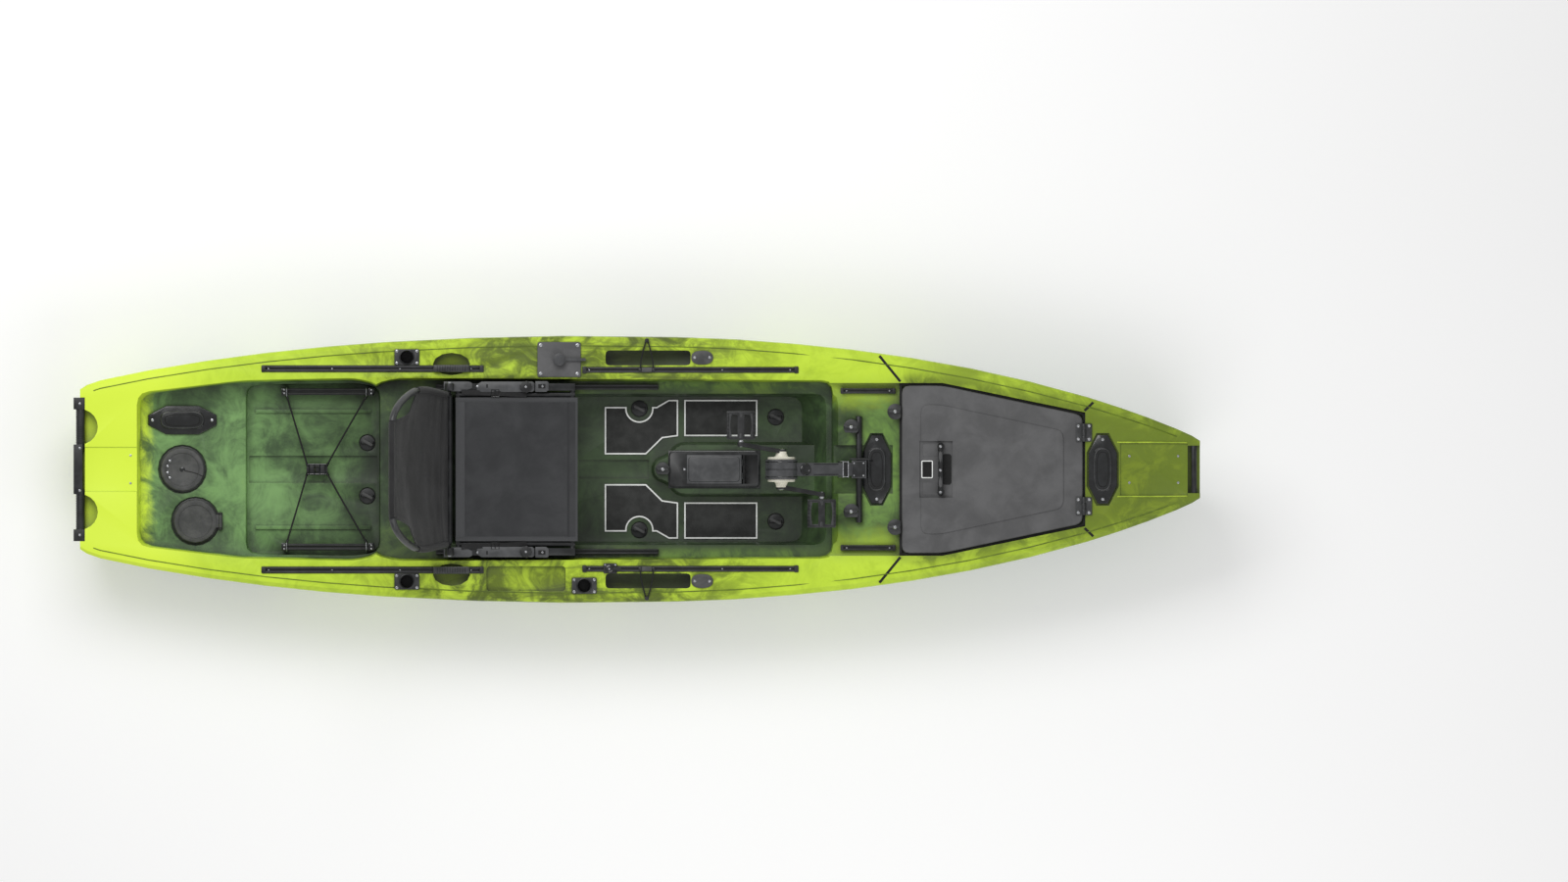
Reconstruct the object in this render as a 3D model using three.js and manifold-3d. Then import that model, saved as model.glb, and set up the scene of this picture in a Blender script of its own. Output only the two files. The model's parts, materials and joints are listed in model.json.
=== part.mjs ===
// A pedal-driven fishing kayak with a sliding frame seat, in millimetres.
// +X is the bow, +Y is port, +Z is up. The origin is under the middle, at the keel's lowest level.
import * as THREE from "three";
import { mergeVertices } from "three/addons/utils/BufferGeometryUtils.js";
import Module from "manifold-3d";

const wasm = await Module();
wasm.setup();

// Driving dimensions: hull
const HULL_LENGTH = 3788;
const HULL_BEAM = 905;
const GUNWALE_HEIGHT = 312;
const GUNWALE_WIDTH = 143;
const BOW_RISE = 73;
const SHEER_BREAK_X = 615;
const HULL_WALL = 6;
const SEAT_GAP = 0.4;
const CUT_OVERRUN = 30;
const STERN_HANDLE_OVERHANG = 22;

// Driving dimensions: cockpit
const COCKPIT_FRONT_X = 668;
const LEDGE_DEPTH = 80;
const LEDGE_WIDTH = 53;
const FLOOR_HEIGHT = 122;
const FOOTWELL_BACK_X = -640;
const FOOTWELL_FRONT_X = 560;
const FOOTWELL_SLOPE_RUN = 120;
const FLOOR_CHANNEL_BACK_X = -197;
const FLOOR_CHANNEL_LENGTH = 237;
const FLOOR_CHANNEL_HALF_WIDTH = 32;
const CHANNEL_DEPTH = 9;
const CORNER_RADIUS = 42;

// Driving dimensions: tank well
const STERN_DECK_LENGTH = 192;
const TANK_FRONT_X = -860;
const TANK_SHELF_DEPTH = 98;
const TANK_DEPTH = 140;
const TANK_BACK_INSET = 50;
const TANK_FRONT_CHAMFER = 24;
const TANK_CHANNEL_HALF_WIDTH = 46;
const TANK_RIB_SPACING = 197;
const RIB_WIDTH = 12;
const RIB_HEIGHT = 7;

// Driving dimensions: bow deck, its lid and its hardware
const FOREDECK_DROP = 30;
const LID_BACK_X = 898;
const BOW_DECK_LENGTH = 395;
const BOW_PORT_OFFSET = 68;
const FORE_PORT_X = 811;
const PORT_RECESS_MARGIN = 7;
const LID_SHOULDER_RIM = 76;
const LID_SHOULDER_LENGTH = 138;
const LID_FRONT_RIM = 66;
const LID_THICKNESS = 14;
const LID_SINK = 1;
const COAMING_INSET = 16;
const COAMING_WIDTH = 9;
const LID_GAP = 9;
const LID_POCKET_DEPTH = 5;
const LID_POCKET_BACK_OFFSET = 60;
const LID_POCKET_LENGTH = 112;
const LID_POCKET_HALF_WIDTH = 96;
const LID_PANEL_INSET = 62;
const LID_PANEL_HEIGHT = 4;
const LID_EDGE_ROUND = 3;
const LID_CORNER_RADIUS = 26;
const LID_HANDLE_OFFSET = 132;
const LID_HANDLE_HALF_LENGTH = 86;
const LID_HANDLE_RADIUS = 8;
const LID_HANDLE_RISE = 15;
const HINGE_CORNER_INSET = 59;
const HINGE_LEAF_WIDTH = 60;
const HINGE_LEAF_LENGTH = 27;
const HINGE_LEAF_THICKNESS = 4;
const HINGE_KNUCKLE_RADIUS = 6.5;
const HINGE_PIN_RADIUS = 3;

// Driving dimensions: spine, drive slot and leg tunnel
const SPINE_BACK_X = 47;
const SPINE_NOSE_LENGTH = 89;
const SPINE_DRAFT = 12;
const SPINE_HALF_WIDTH = 94;
const SPINE_HEIGHT = 56;
const TRAY_BACK_X = 107;
const TRAY_LENGTH = 308;
const TRAY_HALF_WIDTH = 61;
const TRAY_DEPTH = 34;
const TRAY_WALL = 3;
const TRAY_LID_BACK_OFFSET = 62;
const TRAY_LID_LENGTH = 186;
const TRAY_LID_THICKNESS = 5;
const ARM_CHANNEL_BACK_X = 636;
const ARM_CHANNEL_FRONT_X = 866;
const ARM_CHANNEL_HALF_WIDTH = 82;
const ARM_CHANNEL_DEPTH = 20;
const SLOT_HALF_WIDTH = 21;
const SLOT_CLEARANCE = 12;
const LEG_TUNNEL_HALF_WIDTH = 30;
const POCKET_CLEARANCE = 12;
const POCKET_CEILING = 10;

// Driving dimensions: pedal drive
const CRANK_X = 490;
const CRANK_HEIGHT = 412;
const CRANK_LENGTH = 145;
const CRANK_REST_DEGREES = 20;
const CRANK_AXLE_RADIUS = 10;
const CRANK_HUB_RADIUS = 17;
const CRANK_HUB_REACH = 67;
const CRANK_ARM_THICKNESS = 14;
const CRANK_ARM_OFFSET = 25;
const CRANK_TIP_RADIUS = 12;
const DRIVE_HOUSING_RADIUS = 54;
const DRIVE_HOUSING_HALF_WIDTH = 33;
const DRIVE_COLLAR_RADIUS = 44;
const DRIVE_COLLAR_WIDTH = 8;
const DRIVE_ARM_HALF_WIDTH = 22;
const DRIVE_ARM_HEIGHT = 52;
const CROSSBAR_X = 752;
const CROSSBAR_RADIUS = 10.5;
const CROSSBAR_HALF_LENGTH = 180;
const SADDLE_HALF_LENGTH = 25;
const SADDLE_HALF_WIDTH = 30;
const SADDLE_WALL = 6;
const LEG_X = 712;
const LEG_CHORD = 42;
const LEG_HALF_WIDTH = 15;
const KNUCKLE_HEIGHT = 36;
const KNUCKLE_RADIUS = 21;
const KNUCKLE_CHEEK = 6;
const KNUCKLE_GAP = 2;
const KNUCKLE_PIN_RADIUS = 6;
const LEG_REACH = 348;
const LEG_STRUT_HEIGHT = 40;
const GEARCASE_RADIUS = 27;
const GEARCASE_HALF_LENGTH = 27;
const PROP_RADIUS = 128;
const PROP_HUB_RADIUS = 15;
const PROP_HUB_LENGTH = 34;
const PROP_BLADE_CHORD = 46;
const PROP_BLADE_THICKNESS = 5;
const PROP_PITCH_DEGREES = 28;
const PEDAL_LENGTH = 96;
const PEDAL_WIDTH = 96;
const PEDAL_THICKNESS = 22;
const PEDAL_RAIL = 9;
const PEDAL_SLEEVE_RADIUS = 11;
const PEDAL_SPINDLE_RADIUS = 6;
const PEDAL_CLEARANCE = 9;

// Driving dimensions: seat
const SEAT_FRONT_X = -199;
const SEAT_LENGTH = 413;
const SEAT_EDGE_INSET = 35.8;
const SEAT_HEIGHT = 330;
const SEAT_TUBE_RADIUS = 9;
const SEAT_TUBE_DROP = 1.8;
const SEAT_SAG = 16;
const SEAT_CLOTH = 7;
const SEAT_BRACKET_THICKNESS = 24;
const BACK_HEIGHT = 390;
const BACK_LEAN = 187;
const BACK_PIVOT_X = -632;
const BACK_PIVOT_HEIGHT = 352;
const BACK_EDGE_INSET = 8.8;
const BACK_SAG = 24;
const SEAT_KNOB_X = -374;
const SEAT_EAR_RADIUS = 15;
const SEAT_BAR = 14;
const BACK_PIN_RADIUS = 5;
const SEAT_KNOB_RADIUS = 19;
const SEAT_KNOB_HEIGHT = 12;

// Driving dimensions: rails and tracks
const TRACK_HEIGHT = 12;
const TRACK_SINK = 9;
const TRACK_SLOT = 8;
const TRACK_SLOT_DEPTH = 7;
const TRACK_WALL = 2;
const SEAT_RAIL_HEIGHT = 13;
const AFT_TRACK_BACK_X = -1256;
const AFT_TRACK_LENGTH = 726;
const AFT_TRACK_WIDTH = 22;
const AFT_TRACK_OFFSET = 31;
const FORE_TRACK_BACK_X = -170;
const FORE_TRACK_LENGTH = 705;
const FORE_TRACK_WIDTH = 19;
const FORE_TRACK_OFFSET = 27;
const BOW_TRACK_BACK_X = 698;
const BOW_TRACK_LENGTH = 168;
const BOW_TRACK_INSET = 27;
const BOW_TRACK_WIDTH = 18;
const TANK_TRACK_FRONT_OFFSET = 34;
const TANK_TRACK_BACK_OFFSET = 135;
const TANK_TRACK_WIDTH = 23;
const TANK_TRACK_INSET = 46;
const TANK_TRACK_LIFT = 34;
const SEAT_RAIL_FRONT_X = 73;
const SEAT_RAIL_LENGTH = 753;
const SEAT_RAIL_WIDTH = 17.6;
const GRIP_X = -626;
const GRIP_HALF_LENGTH = 61;
const GRIP_HEIGHT = 12;
const GRIP_SCOOP_LENGTH = 126;
const GRIP_SCOOP_WIDTH = 76;
const GRIP_SCOOP_OFFSET = 16;
const GRIP_SCOOP_DEPTH = 26;

// Driving dimensions: hatches, ports, plugs and other fittings
const HATCH_LID_RADIUS = 74;
const HATCH_RECESS_RADIUS = 84;
const HATCH_RECESS_DEPTH = 10;
const HATCH_OPENING_RADIUS = 58;
const HATCH_RING_HEIGHT = 6;
const HATCH_LID_HEIGHT = 12;
const CENTRE_HATCH_OFFSET = 151;
const SIDE_HATCH_OFFSET = 195;
const HATCH_SPACING = 8;
const SIDE_HATCH_HINGE_REACH = 85;
const SIDE_HATCH_TAB_WIDTH = 44;
const HATCH_PLUG_DEPTH = 4;
const HATCH_RING_RADIUS = 79;
const HATCH_EAR = 7;
const HATCH_FOOT = 3;
const HATCH_KNUCKLE_RADIUS = 6;
const HATCH_RIB_HEIGHT = 3;
const PORT_LENGTH = 232;
const PORT_WIDTH = 96;
const PORT_FLAT_LENGTH = 110;
const PORT_THICKNESS = 8;
const PORT_TIP_RADIUS = 17;
const PORT_WINDOW_LENGTH = 146;
const PORT_WINDOW_WIDTH = 60;
const PORT_WINDOW_INSET = 6;
const PORT_RIM_HEIGHT = 5;
const PLUG_RADIUS = 26;
const PLUG_STEM_RADIUS = 13;
const PLUG_HEIGHT = 6;
const PLUG_RECESS_GAP = 4;
const PLUG_RECESS_DEPTH = 7;
const PLUG_STEM_LENGTH = 26;
const PLUG_GRIP_HEIGHT = 9;
const PLUG_GRIP_WIDTH = 10;
const REAR_PLUG_X = 8;
const REAR_PLUG_INSET = 50.5;
const FORE_PLUG_X = 471;
const FORE_PLUG_INSET = 79.5;
const TANK_PLUG_OFFSET = 54;
const TANK_PLUG_Y = 90;
const LATCH_RADIUS = 27;
const LATCH_STEM_RADIUS = 8;
const LATCH_HEIGHT = 9;
const LATCH_GRIP_HEIGHT = 11;
const LATCH_GRIP_WIDTH = 11;
const HATCH_LATCH_X = 876;
const HATCH_LATCH_INSET = 97;
const CLAMP_X = 727;
const CLAMP_Y = 143;
const TRAY_LATCH_X = 88;
const TRAY_LATCH_RADIUS = 24;
const ROD_HOLE_RADIUS = 21.5;
const ROD_TUBE_WALL = 3;
const ROD_TUBE_DEPTH = 100;
const ROD_FLANGE_LENGTH = 84;
const ROD_FLANGE_WIDTH = 54;
const ROD_FLANGE_THICKNESS = 5;
const AFT_ROD_X = -777;
const MIDDLE_ROD_X = -177;
const MIDDLE_ROD_OFFSET = 14;
const ROD_OFFSET = 70;
const STEERING_X = -262;
const STEERING_OFFSET = 62;
const STEERING_PLATE_LENGTH = 146;
const STEERING_PLATE_WIDTH = 118;
const STEERING_PLATE_THICKNESS = 6;
const STEERING_KNOB_RADIUS = 21;
const STEERING_KNOB_HEIGHT = 22;
const STEERING_LEVER_LENGTH = 90;
const STEERING_LEVER_WIDTH = 9;
const STEERING_PIN_RADIUS = 6;
const PAD_THICKNESS = 3;
const PAD_EDGE_INSET = 21.5;
const FORE_PAD_BACK_X = 161;
const FORE_PAD_LENGTH = 247;
const FORE_PAD_SPINE_GAP = 19;
const REAR_PAD_BACK_X = -109;
const REAR_PAD_LENGTH = 248;
const REAR_PAD_INNER_Y = 51;
const REAR_PAD_OUTER_INSET = 45.5;
const REAR_PAD_SCALLOP_RADIUS = 44;
const POCKET_BACK_X = -105;
const POCKET_LENGTH = 288;
const POCKET_DEPTH = 52;
const POCKET_RIM = 50;
const TRAY_RECESS_BACK_X = -508;
const TRAY_RECESS_LENGTH = 268;
const TRAY_RECESS_DEPTH = 14;
const TRAY_RECESS_INSET = 18;
const TRAY_RIM = 40;
const HANDLE_BAR_RADIUS = 9;
const STERN_HANDLE_HALF_LENGTH = 243;
const STERN_BRACKET_WIDTH = 40;
const STERN_GRIP_OUTER_Y = 204;
const STERN_GRIP_INNER_Y = 84;
const STERN_HANDLE_HEIGHT = 30;
const STERN_HANDLE_DEPTH = 38;
const FINGER_SCOOP_RADIUS = 60;
const FINGER_SCOOP_DEPTH = 34;
const BOW_HANDLE_HALF_LENGTH = 80;
const BOW_HANDLE_SETBACK = 19;
const BOW_RECESS_LENGTH = 40;
const BOW_RECESS_DEPTH = 24;
const BOW_PANEL_GAP = 4;
const BOW_PANEL_HALF_WIDTH = 88;
const PANEL_DEPTH = 4;
const STERN_PANEL_HALF_WIDTH = 76;
const RUDDER_LENGTH = 172;
const RUDDER_THICKNESS = 9;
const RUDDER_POST_RADIUS = 8;
const RUDDER_POST_SETBACK = 160;
const RUDDER_FLOOR_CLEARANCE = 9;
const RUDDER_TOP_CLEARANCE = 12;
const RUDDER_POST_SOCKET = 60;
const BUNGEE_RADIUS = 3;
const BUNGEE_BACK_OFFSET = 14;
const BUNGEE_FRONT_OFFSET = 22;
const BUNGEE_CLIP_HALF_LENGTH = 38;
const BUNGEE_CLIP_HALF_WIDTH = 21;
const BUNGEE_CLIP_HEIGHT = 14;
const BUNGEE_DROP = 12;

// Shares of the length from the stern, of the half beam, and of the gunwale height at the keel
const STATION_SHARES = [
  [0.0, 0.6, 0.42],
  [0.006, 0.632, 0.4],
  [0.018, 0.667, 0.37],
  [0.061, 0.742, 0.27],
  [0.114, 0.815, 0.16],
  [0.166, 0.873, 0.08],
  [0.219, 0.919, 0.032],
  [0.271, 0.953, 0.008],
  [0.35, 0.985, 0.0],
  [0.43, 1.0, 0.0],
  [0.533, 0.991, 0.0],
  [0.586, 0.974, 0.0],
  [0.638, 0.941, 0.0],
  [0.69, 0.897, 0.004],
  [0.743, 0.835, 0.014],
  [0.795, 0.758, 0.034],
  [0.848, 0.659, 0.072],
  [0.9, 0.541, 0.13],
  [0.927, 0.468, 0.175],
  [0.953, 0.391, 0.235],
  [0.979, 0.305, 0.32],
  [0.993, 0.252, 0.395],
  [1.0, 0.215, 0.47],
];
// Half section: shares of the half breadth and of the height, amidships and at the bow
const MIDDLE_SECTION_SHARES = [
  [0.0, 0.0],
  [0.34, 0.0],
  [0.62, 0.05],
  [0.8, 0.16],
  [0.9, 0.34],
  [0.965, 0.62],
  [1.0, 0.86],
  [0.994, 0.96],
  [0.962, 1.0],
];
const BOW_SECTION_SHARES = [
  [0.0, 0.0],
  [0.1, 0.03],
  [0.3, 0.16],
  [0.5, 0.34],
  [0.7, 0.55],
  [0.88, 0.76],
  [1.0, 0.91],
  [0.99, 0.975],
  [0.93, 1.0],
];
const BOW_SHAPE_START_SHARE = 0.55;
// Spine nose seen from above: shares of its length and of the spine's half width
const SPINE_NOSE_SHARES = [
  [0.0, 0.16],
  [0.18, 0.41],
  [0.58, 0.55],
  [1.0, 1.0],
];
const WALL_DRAFT_SHARE = 0.1;
const TANK_STEP_SHARE = 0.428;
const CORNER_REACH_SHARE = 0.45;
const CRANK_ARM_SHARE = 0.85;
const HOUSING_ARM_SHARE = 0.8;
const PAD_NOTCH_SHARES = [1.75, 0.85];
const SAG_POWER_SHARE = 1.5;
const RAIL_PLACE_SHARE = 0.42;
const RUDDER_FRONT_SHARE = 0.3;
const RUDDER_SWEEP_SHARE = 0.12;
const REAR_PAD_CORNER_PARTS = 3;
const BUNGEE_CLIP_SHARE = 0.38;
const SEAT_WINDOW_LEAN_SHARE = 0.03;
const SEAT_WINDOW_SHARES = [
  [0.08, 0.34],
  [0.4, 0.64],
  [0.7, 0.9],
];
// Back frame: shares up the back and of its half width, for the tube and for the cloth
const BACK_TUBE_SHARES = [
  [0.0, 0.925],
  [0.25, 0.975],
  [0.45, 1.0],
  [0.62, 0.97],
  [0.8, 0.87],
  [0.93, 0.74],
  [0.99, 0.6],
  [1.0, 0.45],
  [1.0, 0.15],
];
const BACK_CLOTH_SHARES = [
  [0.06, 0.934],
  [0.2, 0.954],
  [0.4, 0.969],
  [0.56, 0.959],
  [0.64, 0.86],
  [0.7, 0.74],
  [0.8, 0.68],
  [0.94, 0.64],
];
const LEG_SECTION_SHARES = [
  [-0.5, 0.4],
  [-0.25, 1.0],
  [0.25, 1.0],
  [0.5, 0.3],
];
const STRUT_SECTION_SHARES = [
  [0.0, -1.0],
  [1.0, -0.4],
  [1.0, 0.4],
  [0.0, 1.0],
  [-1.0, 0.4],
  [-1.0, -0.4],
];
const STRUT_TIP_SHARE = 0.42;
const GEARCASE_SHARES = [
  [0.0, -1.0],
  [0.6, -0.9],
  [1.0, -0.2],
  [1.0, 0.5],
  [0.6, 1.0],
  [0.0, 1.0],
];
const PROP_BLADE_SHARES = [
  [0.06, 0.5, 1.5],
  [0.35, 1.0, 1.1],
  [0.75, 0.95, 0.8],
  [1.0, 0.45, 0.6],
];
const DECK_THICKNESS_SHARE = 3.4;
const LATCH_FLAT_SHARE = 0.7;
const GRIP_LENGTH_SHARE = 0.92;
const GRIP_TOP_SHARE = 0.8;
const CORNER_STEPS = 3;
const ROUND_SIDES = 20;
const SMALL_SIDES = 12;
const HOUSING_SIDES = 24;
const HUB_SIDES = 16;
const JACKET_SIDES = 8;
const TUBE_SIDES = 8;
const CORD_SIDES = 6;
const LID_HANDLE_STEPS = 14;
const BACK_TUBE_STEPS = 38;
const CORD_STEPS = 8;
const SCALLOP_STEPS = 8;
const SEAT_CLOTH_COLUMNS = 12;
const SEAT_CLOTH_ROWS = 8;
const BACK_CLOTH_COLUMNS = 8;
const MERGE_DISTANCE = 0.0001;

// Places worked out from the sizes
const sternX = (STERN_HANDLE_OVERHANG - HULL_LENGTH) / 2;
const bowX = sternX + HULL_LENGTH;
const halfBeam = HULL_BEAM / 2;
const sheerSlope = BOW_RISE / (bowX - SHEER_BREAK_X);
const sheerHeight = (x) => GUNWALE_HEIGHT + Math.max(0, x - SHEER_BREAK_X) * sheerSlope;
const skyHeight = GUNWALE_HEIGHT + BOW_RISE + CUT_OVERRUN;
const cockpitHalfWidth = halfBeam - GUNWALE_WIDTH;
const footwellHalfWidth = cockpitHalfWidth - LEDGE_WIDTH;
const ledgeHeight = GUNWALE_HEIGHT - LEDGE_DEPTH;
const spineTop = FLOOR_HEIGHT + SPINE_HEIGHT;
const spineFrontX = ARM_CHANNEL_BACK_X + CORNER_RADIUS;
const tankBackX = sternX + STERN_DECK_LENGTH;
const tankStepX = tankBackX + (TANK_FRONT_X - tankBackX) * TANK_STEP_SHARE;
const shelfHeight = GUNWALE_HEIGHT - TANK_SHELF_DEPTH;
const tankFloorHeight = GUNWALE_HEIGHT - TANK_DEPTH;
const lidFrontX = bowX - BOW_DECK_LENGTH;
const lidShoulderX = LID_BACK_X + LID_SHOULDER_LENGTH;
// What the stations say at a place along the hull: half breadth is item 1 and the keel's height is item 2
const station = (x, item) => {
  const along = (x - sternX) / HULL_LENGTH;
  const next = Math.max(1, STATION_SHARES.findIndex(([share]) => share >= along));
  const before = STATION_SHARES[next - 1];
  const after = STATION_SHARES[next];
  return THREE.MathUtils.mapLinear(along, before[0], after[0], before[item], after[item]);
};
const lidBackHalfWidth = station(lidShoulderX, 1) * halfBeam - LID_SHOULDER_RIM;
const lidFrontHalfWidth = station(lidFrontX, 1) * halfBeam - LID_FRONT_RIM;
const hingeSpread = lidFrontHalfWidth - HINGE_CORNER_INSET;
const bowTrackY = lidBackHalfWidth + LID_GAP - BOW_TRACK_INSET;
const hatchLatchY = lidBackHalfWidth + LID_GAP - HATCH_LATCH_INSET;
const pocketX = LEG_X - LEG_REACH;
const pocketRadius = PROP_RADIUS + POCKET_CLEARANCE;
const pocketHeight = FLOOR_HEIGHT - POCKET_CEILING;
const railY = footwellHalfWidth + LEDGE_WIDTH * RAIL_PLACE_SHARE;
const seatHalfWidth = railY - SEAT_EDGE_INSET;
const backHalfWidth = railY - BACK_EDGE_INSET;
const railTop = ledgeHeight + SEAT_GAP + SEAT_RAIL_HEIGHT;
const railBackX = SEAT_RAIL_FRONT_X - SEAT_RAIL_LENGTH;
const aftTrackY = cockpitHalfWidth + AFT_TRACK_OFFSET;
const foreTrackY = cockpitHalfWidth + FORE_TRACK_OFFSET;
const pocketInnerY = foreTrackY + FORE_TRACK_WIDTH / 2 + HULL_WALL;
const slotBackX = LEG_X - LEG_CHORD / 2 - SLOT_CLEARANCE;
const slotFrontX = LEG_X + LEG_CHORD / 2 + SLOT_CLEARANCE;
const centreHatchX = tankBackX + CENTRE_HATCH_OFFSET;
const sideHatchX = tankBackX + SIDE_HATCH_OFFSET;
const sideHatchY = -(2 * HATCH_RECESS_RADIUS + HATCH_SPACING);
const shelfHalfWidth = cockpitHalfWidth - TANK_BACK_INSET - TANK_SHELF_DEPTH * WALL_DRAFT_SHARE;
const sternPortY = (HATCH_RECESS_RADIUS + shelfHalfWidth) / 2;
const tankTrackX = tankStepX + TANK_TRACK_BACK_OFFSET;
const tankTrackLength = TANK_FRONT_X - TANK_TRACK_FRONT_OFFSET - tankTrackX;
const tankTrackY = cockpitHalfWidth - TANK_TRACK_INSET;
const rodY = cockpitHalfWidth + ROD_OFFSET;
const rodTubeRadius = ROD_HOLE_RADIUS + ROD_TUBE_WALL;
const rodSpots = [[AFT_ROD_X, rodY], [AFT_ROD_X, -rodY], [MIDDLE_ROD_X, -rodY - MIDDLE_ROD_OFFSET]];
const tankPlugX = TANK_FRONT_X - TANK_PLUG_OFFSET;
const bowPortX = lidFrontX + BOW_PORT_OFFSET;
const bowPanelX = bowPortX + PORT_WIDTH / 2 + PORT_RECESS_MARGIN + BOW_PANEL_GAP;
const bowRecessHalfWidth = BOW_HANDLE_HALF_LENGTH + SEAT_GAP;
const forePortLift = -FOREDECK_DROP - ARM_CHANNEL_DEPTH;
const lidHigh = -LID_SINK;
const lidLow = lidHigh - LID_THICKNESS;
const rudderX = sternX + RUDDER_POST_SETBACK;
const rearPlugY = footwellHalfWidth - REAR_PLUG_INSET;
const forePlugY = footwellHalfWidth - FORE_PLUG_INSET;
const padEdgeY = footwellHalfWidth - PAD_EDGE_INSET;
const forePadInnerY = SPINE_HALF_WIDTH + FORE_PAD_SPINE_GAP;
const rearPadOuterY = footwellHalfWidth - REAR_PAD_OUTER_INSET;
const plugSpots = [
  [tankPlugX, TANK_PLUG_Y, tankFloorHeight],
  [tankPlugX, -TANK_PLUG_Y, tankFloorHeight],
  [REAR_PLUG_X, rearPlugY, FLOOR_HEIGHT],
  [REAR_PLUG_X, -rearPlugY, FLOOR_HEIGHT],
  [FORE_PLUG_X, forePlugY, FLOOR_HEIGHT],
  [FORE_PLUG_X, -forePlugY, FLOOR_HEIGHT],
];

// Solid making
function solidOf(geometry) {
  const bare = geometry.clone();
  bare.deleteAttribute("normal");
  bare.deleteAttribute("uv");
  const merged = mergeVertices(bare, MERGE_DISTANCE);
  return new wasm.Manifold(new wasm.Mesh({
    numProp: 3,
    vertProperties: new Float32Array(merged.attributes.position.array),
    triVerts: new Uint32Array(merged.index.array),
  }));
}

function capFaces(ring) {
  const normal = new THREE.Vector3();
  ring.forEach((point, index) => {
    normal.add(new THREE.Vector3().crossVectors(point, ring[(index + 1) % ring.length]));
  });
  const size = normal.clone().set(Math.abs(normal.x), Math.abs(normal.y), Math.abs(normal.z));
  const flat = ring.map((point) => {
    if (size.x >= size.y && size.x >= size.z) return new THREE.Vector2(point.y, point.z);
    if (size.y >= size.z) return new THREE.Vector2(point.z, point.x);
    return new THREE.Vector2(point.x, point.y);
  });
  const turned = THREE.ShapeUtils.area(flat) < 0;
  const faces = THREE.ShapeUtils.triangulateShape(turned ? flat.slice().reverse() : flat, []);
  const last = ring.length - 1;
  return faces.map((face) => (turned ? face.map((index) => last - index).reverse() : face));
}

// A closed skin over rings of equally many points, with flat ends
function loft(rings) {
  const sides = rings[0].length;
  const points = rings.flat();
  const faces = [];
  for (let near = 0; near + sides < points.length; near += 1) {
    const next = near % sides === sides - 1 ? near + 1 - sides : near + 1;
    faces.push([near, next, next + sides], [near, next + sides, near + sides]);
  }
  const end = points.length - sides;
  capFaces(rings[0]).forEach((face) => faces.push(face.slice().reverse()));
  capFaces(rings[rings.length - 1]).forEach((face) => faces.push(face.map((index) => index + end)));
  const volume = faces.reduce((sum, [a, b, c]) => {
    return sum + points[a].dot(new THREE.Vector3().crossVectors(points[b], points[c]));
  }, 0);
  if (volume < 0) {
    faces.forEach((face) => face.reverse());
  }
  const geometry = new THREE.BufferGeometry();
  const numbers = points.flatMap((point) => [point.x, point.y, point.z]);
  geometry.setAttribute("position", new THREE.Float32BufferAttribute(numbers, 3));
  geometry.setIndex(faces.flat());
  return solidOf(geometry);
}

// Moves every edge of a counterclockwise outline outwards
function grow(outline, distance) {
  const count = outline.length;
  return outline.map((point, index) => {
    const before = outline[(index + count - 1) % count];
    const after = outline[(index + 1) % count];
    const inward = new THREE.Vector2(point[0] - before[0], point[1] - before[1]).normalize();
    const outward = new THREE.Vector2(after[0] - point[0], after[1] - point[1]).normalize();
    const first = new THREE.Vector2(inward.y, -inward.x);
    const second = new THREE.Vector2(outward.y, -outward.x);
    const scale = distance / (1 + first.dot(second));
    return [point[0] + (first.x + second.x) * scale, point[1] + (first.y + second.y) * scale];
  });
}

function rounded(outline, radius) {
  const count = outline.length;
  return outline.flatMap((point, index) => {
    const corner = new THREE.Vector2(...point);
    const before = new THREE.Vector2(...outline[(index + count - 1) % count]).sub(corner);
    const after = new THREE.Vector2(...outline[(index + 1) % count]).sub(corner);
    const reach = Math.min(radius, before.length() * CORNER_REACH_SHARE, after.length() * CORNER_REACH_SHARE);
    const start = corner.clone().add(before.setLength(reach));
    const end = corner.clone().add(after.setLength(reach));
    const curve = new THREE.QuadraticBezierCurve(start, corner, end);
    return curve.getPoints(CORNER_STEPS).map((spot) => [spot.x, spot.y]);
  });
}

// Outlines are counterclockwise: a half lists [x, half width] from back to front
const symmetric = (half) => [...half.map(([x, y]) => [x, -y]), ...half.slice().reverse()];
const rectangle = (x0, x1, y0, y1) => [[x0, y0], [x1, y0], [x1, y1], [x0, y1]];
const disc = (x, y, radius, sides = ROUND_SIDES) => Array.from({ length: sides }, (_, index) => {
  const turn = (index / sides) * 2 * Math.PI;
  return [x + radius * Math.cos(turn), y + radius * Math.sin(turn)];
});
const level = (outline, z) => outline.map(([x, y]) => new THREE.Vector3(x, y, z));
const upright = (outline, y) => outline.map(([x, z]) => new THREE.Vector3(x, y, z));
const across = (outline, x) => outline.map(([y, z]) => new THREE.Vector3(x, y, z));
const plate = (outline, low, high) => loft([level(outline, low), level(outline, high)]);
const slab = (outline, y0, y1) => loft([upright(outline, y0), upright(outline, y1)]);
const rail = (section, x0, x1) => loft([across(section, x0), across(section, x1)]);
// A box between two of its corners, in either order
const box = (x0, x1, y0, y1, z0, z1) => {
  const geometry = new THREE.BoxGeometry(Math.abs(x1 - x0), Math.abs(y1 - y0), Math.abs(z1 - z0));
  return solidOf(geometry.translate((x0 + x1) / 2, (y0 + y1) / 2, (z0 + z1) / 2));
};
const joined = (solids) => solids.reduce((sum, solid) => sum.add(solid));
const without = (solid, cuts) => cuts.reduce((rest, cut) => rest.subtract(cut), solid);
const flipped = (solid) => solid.mirror([0, 1, 0]);

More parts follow.
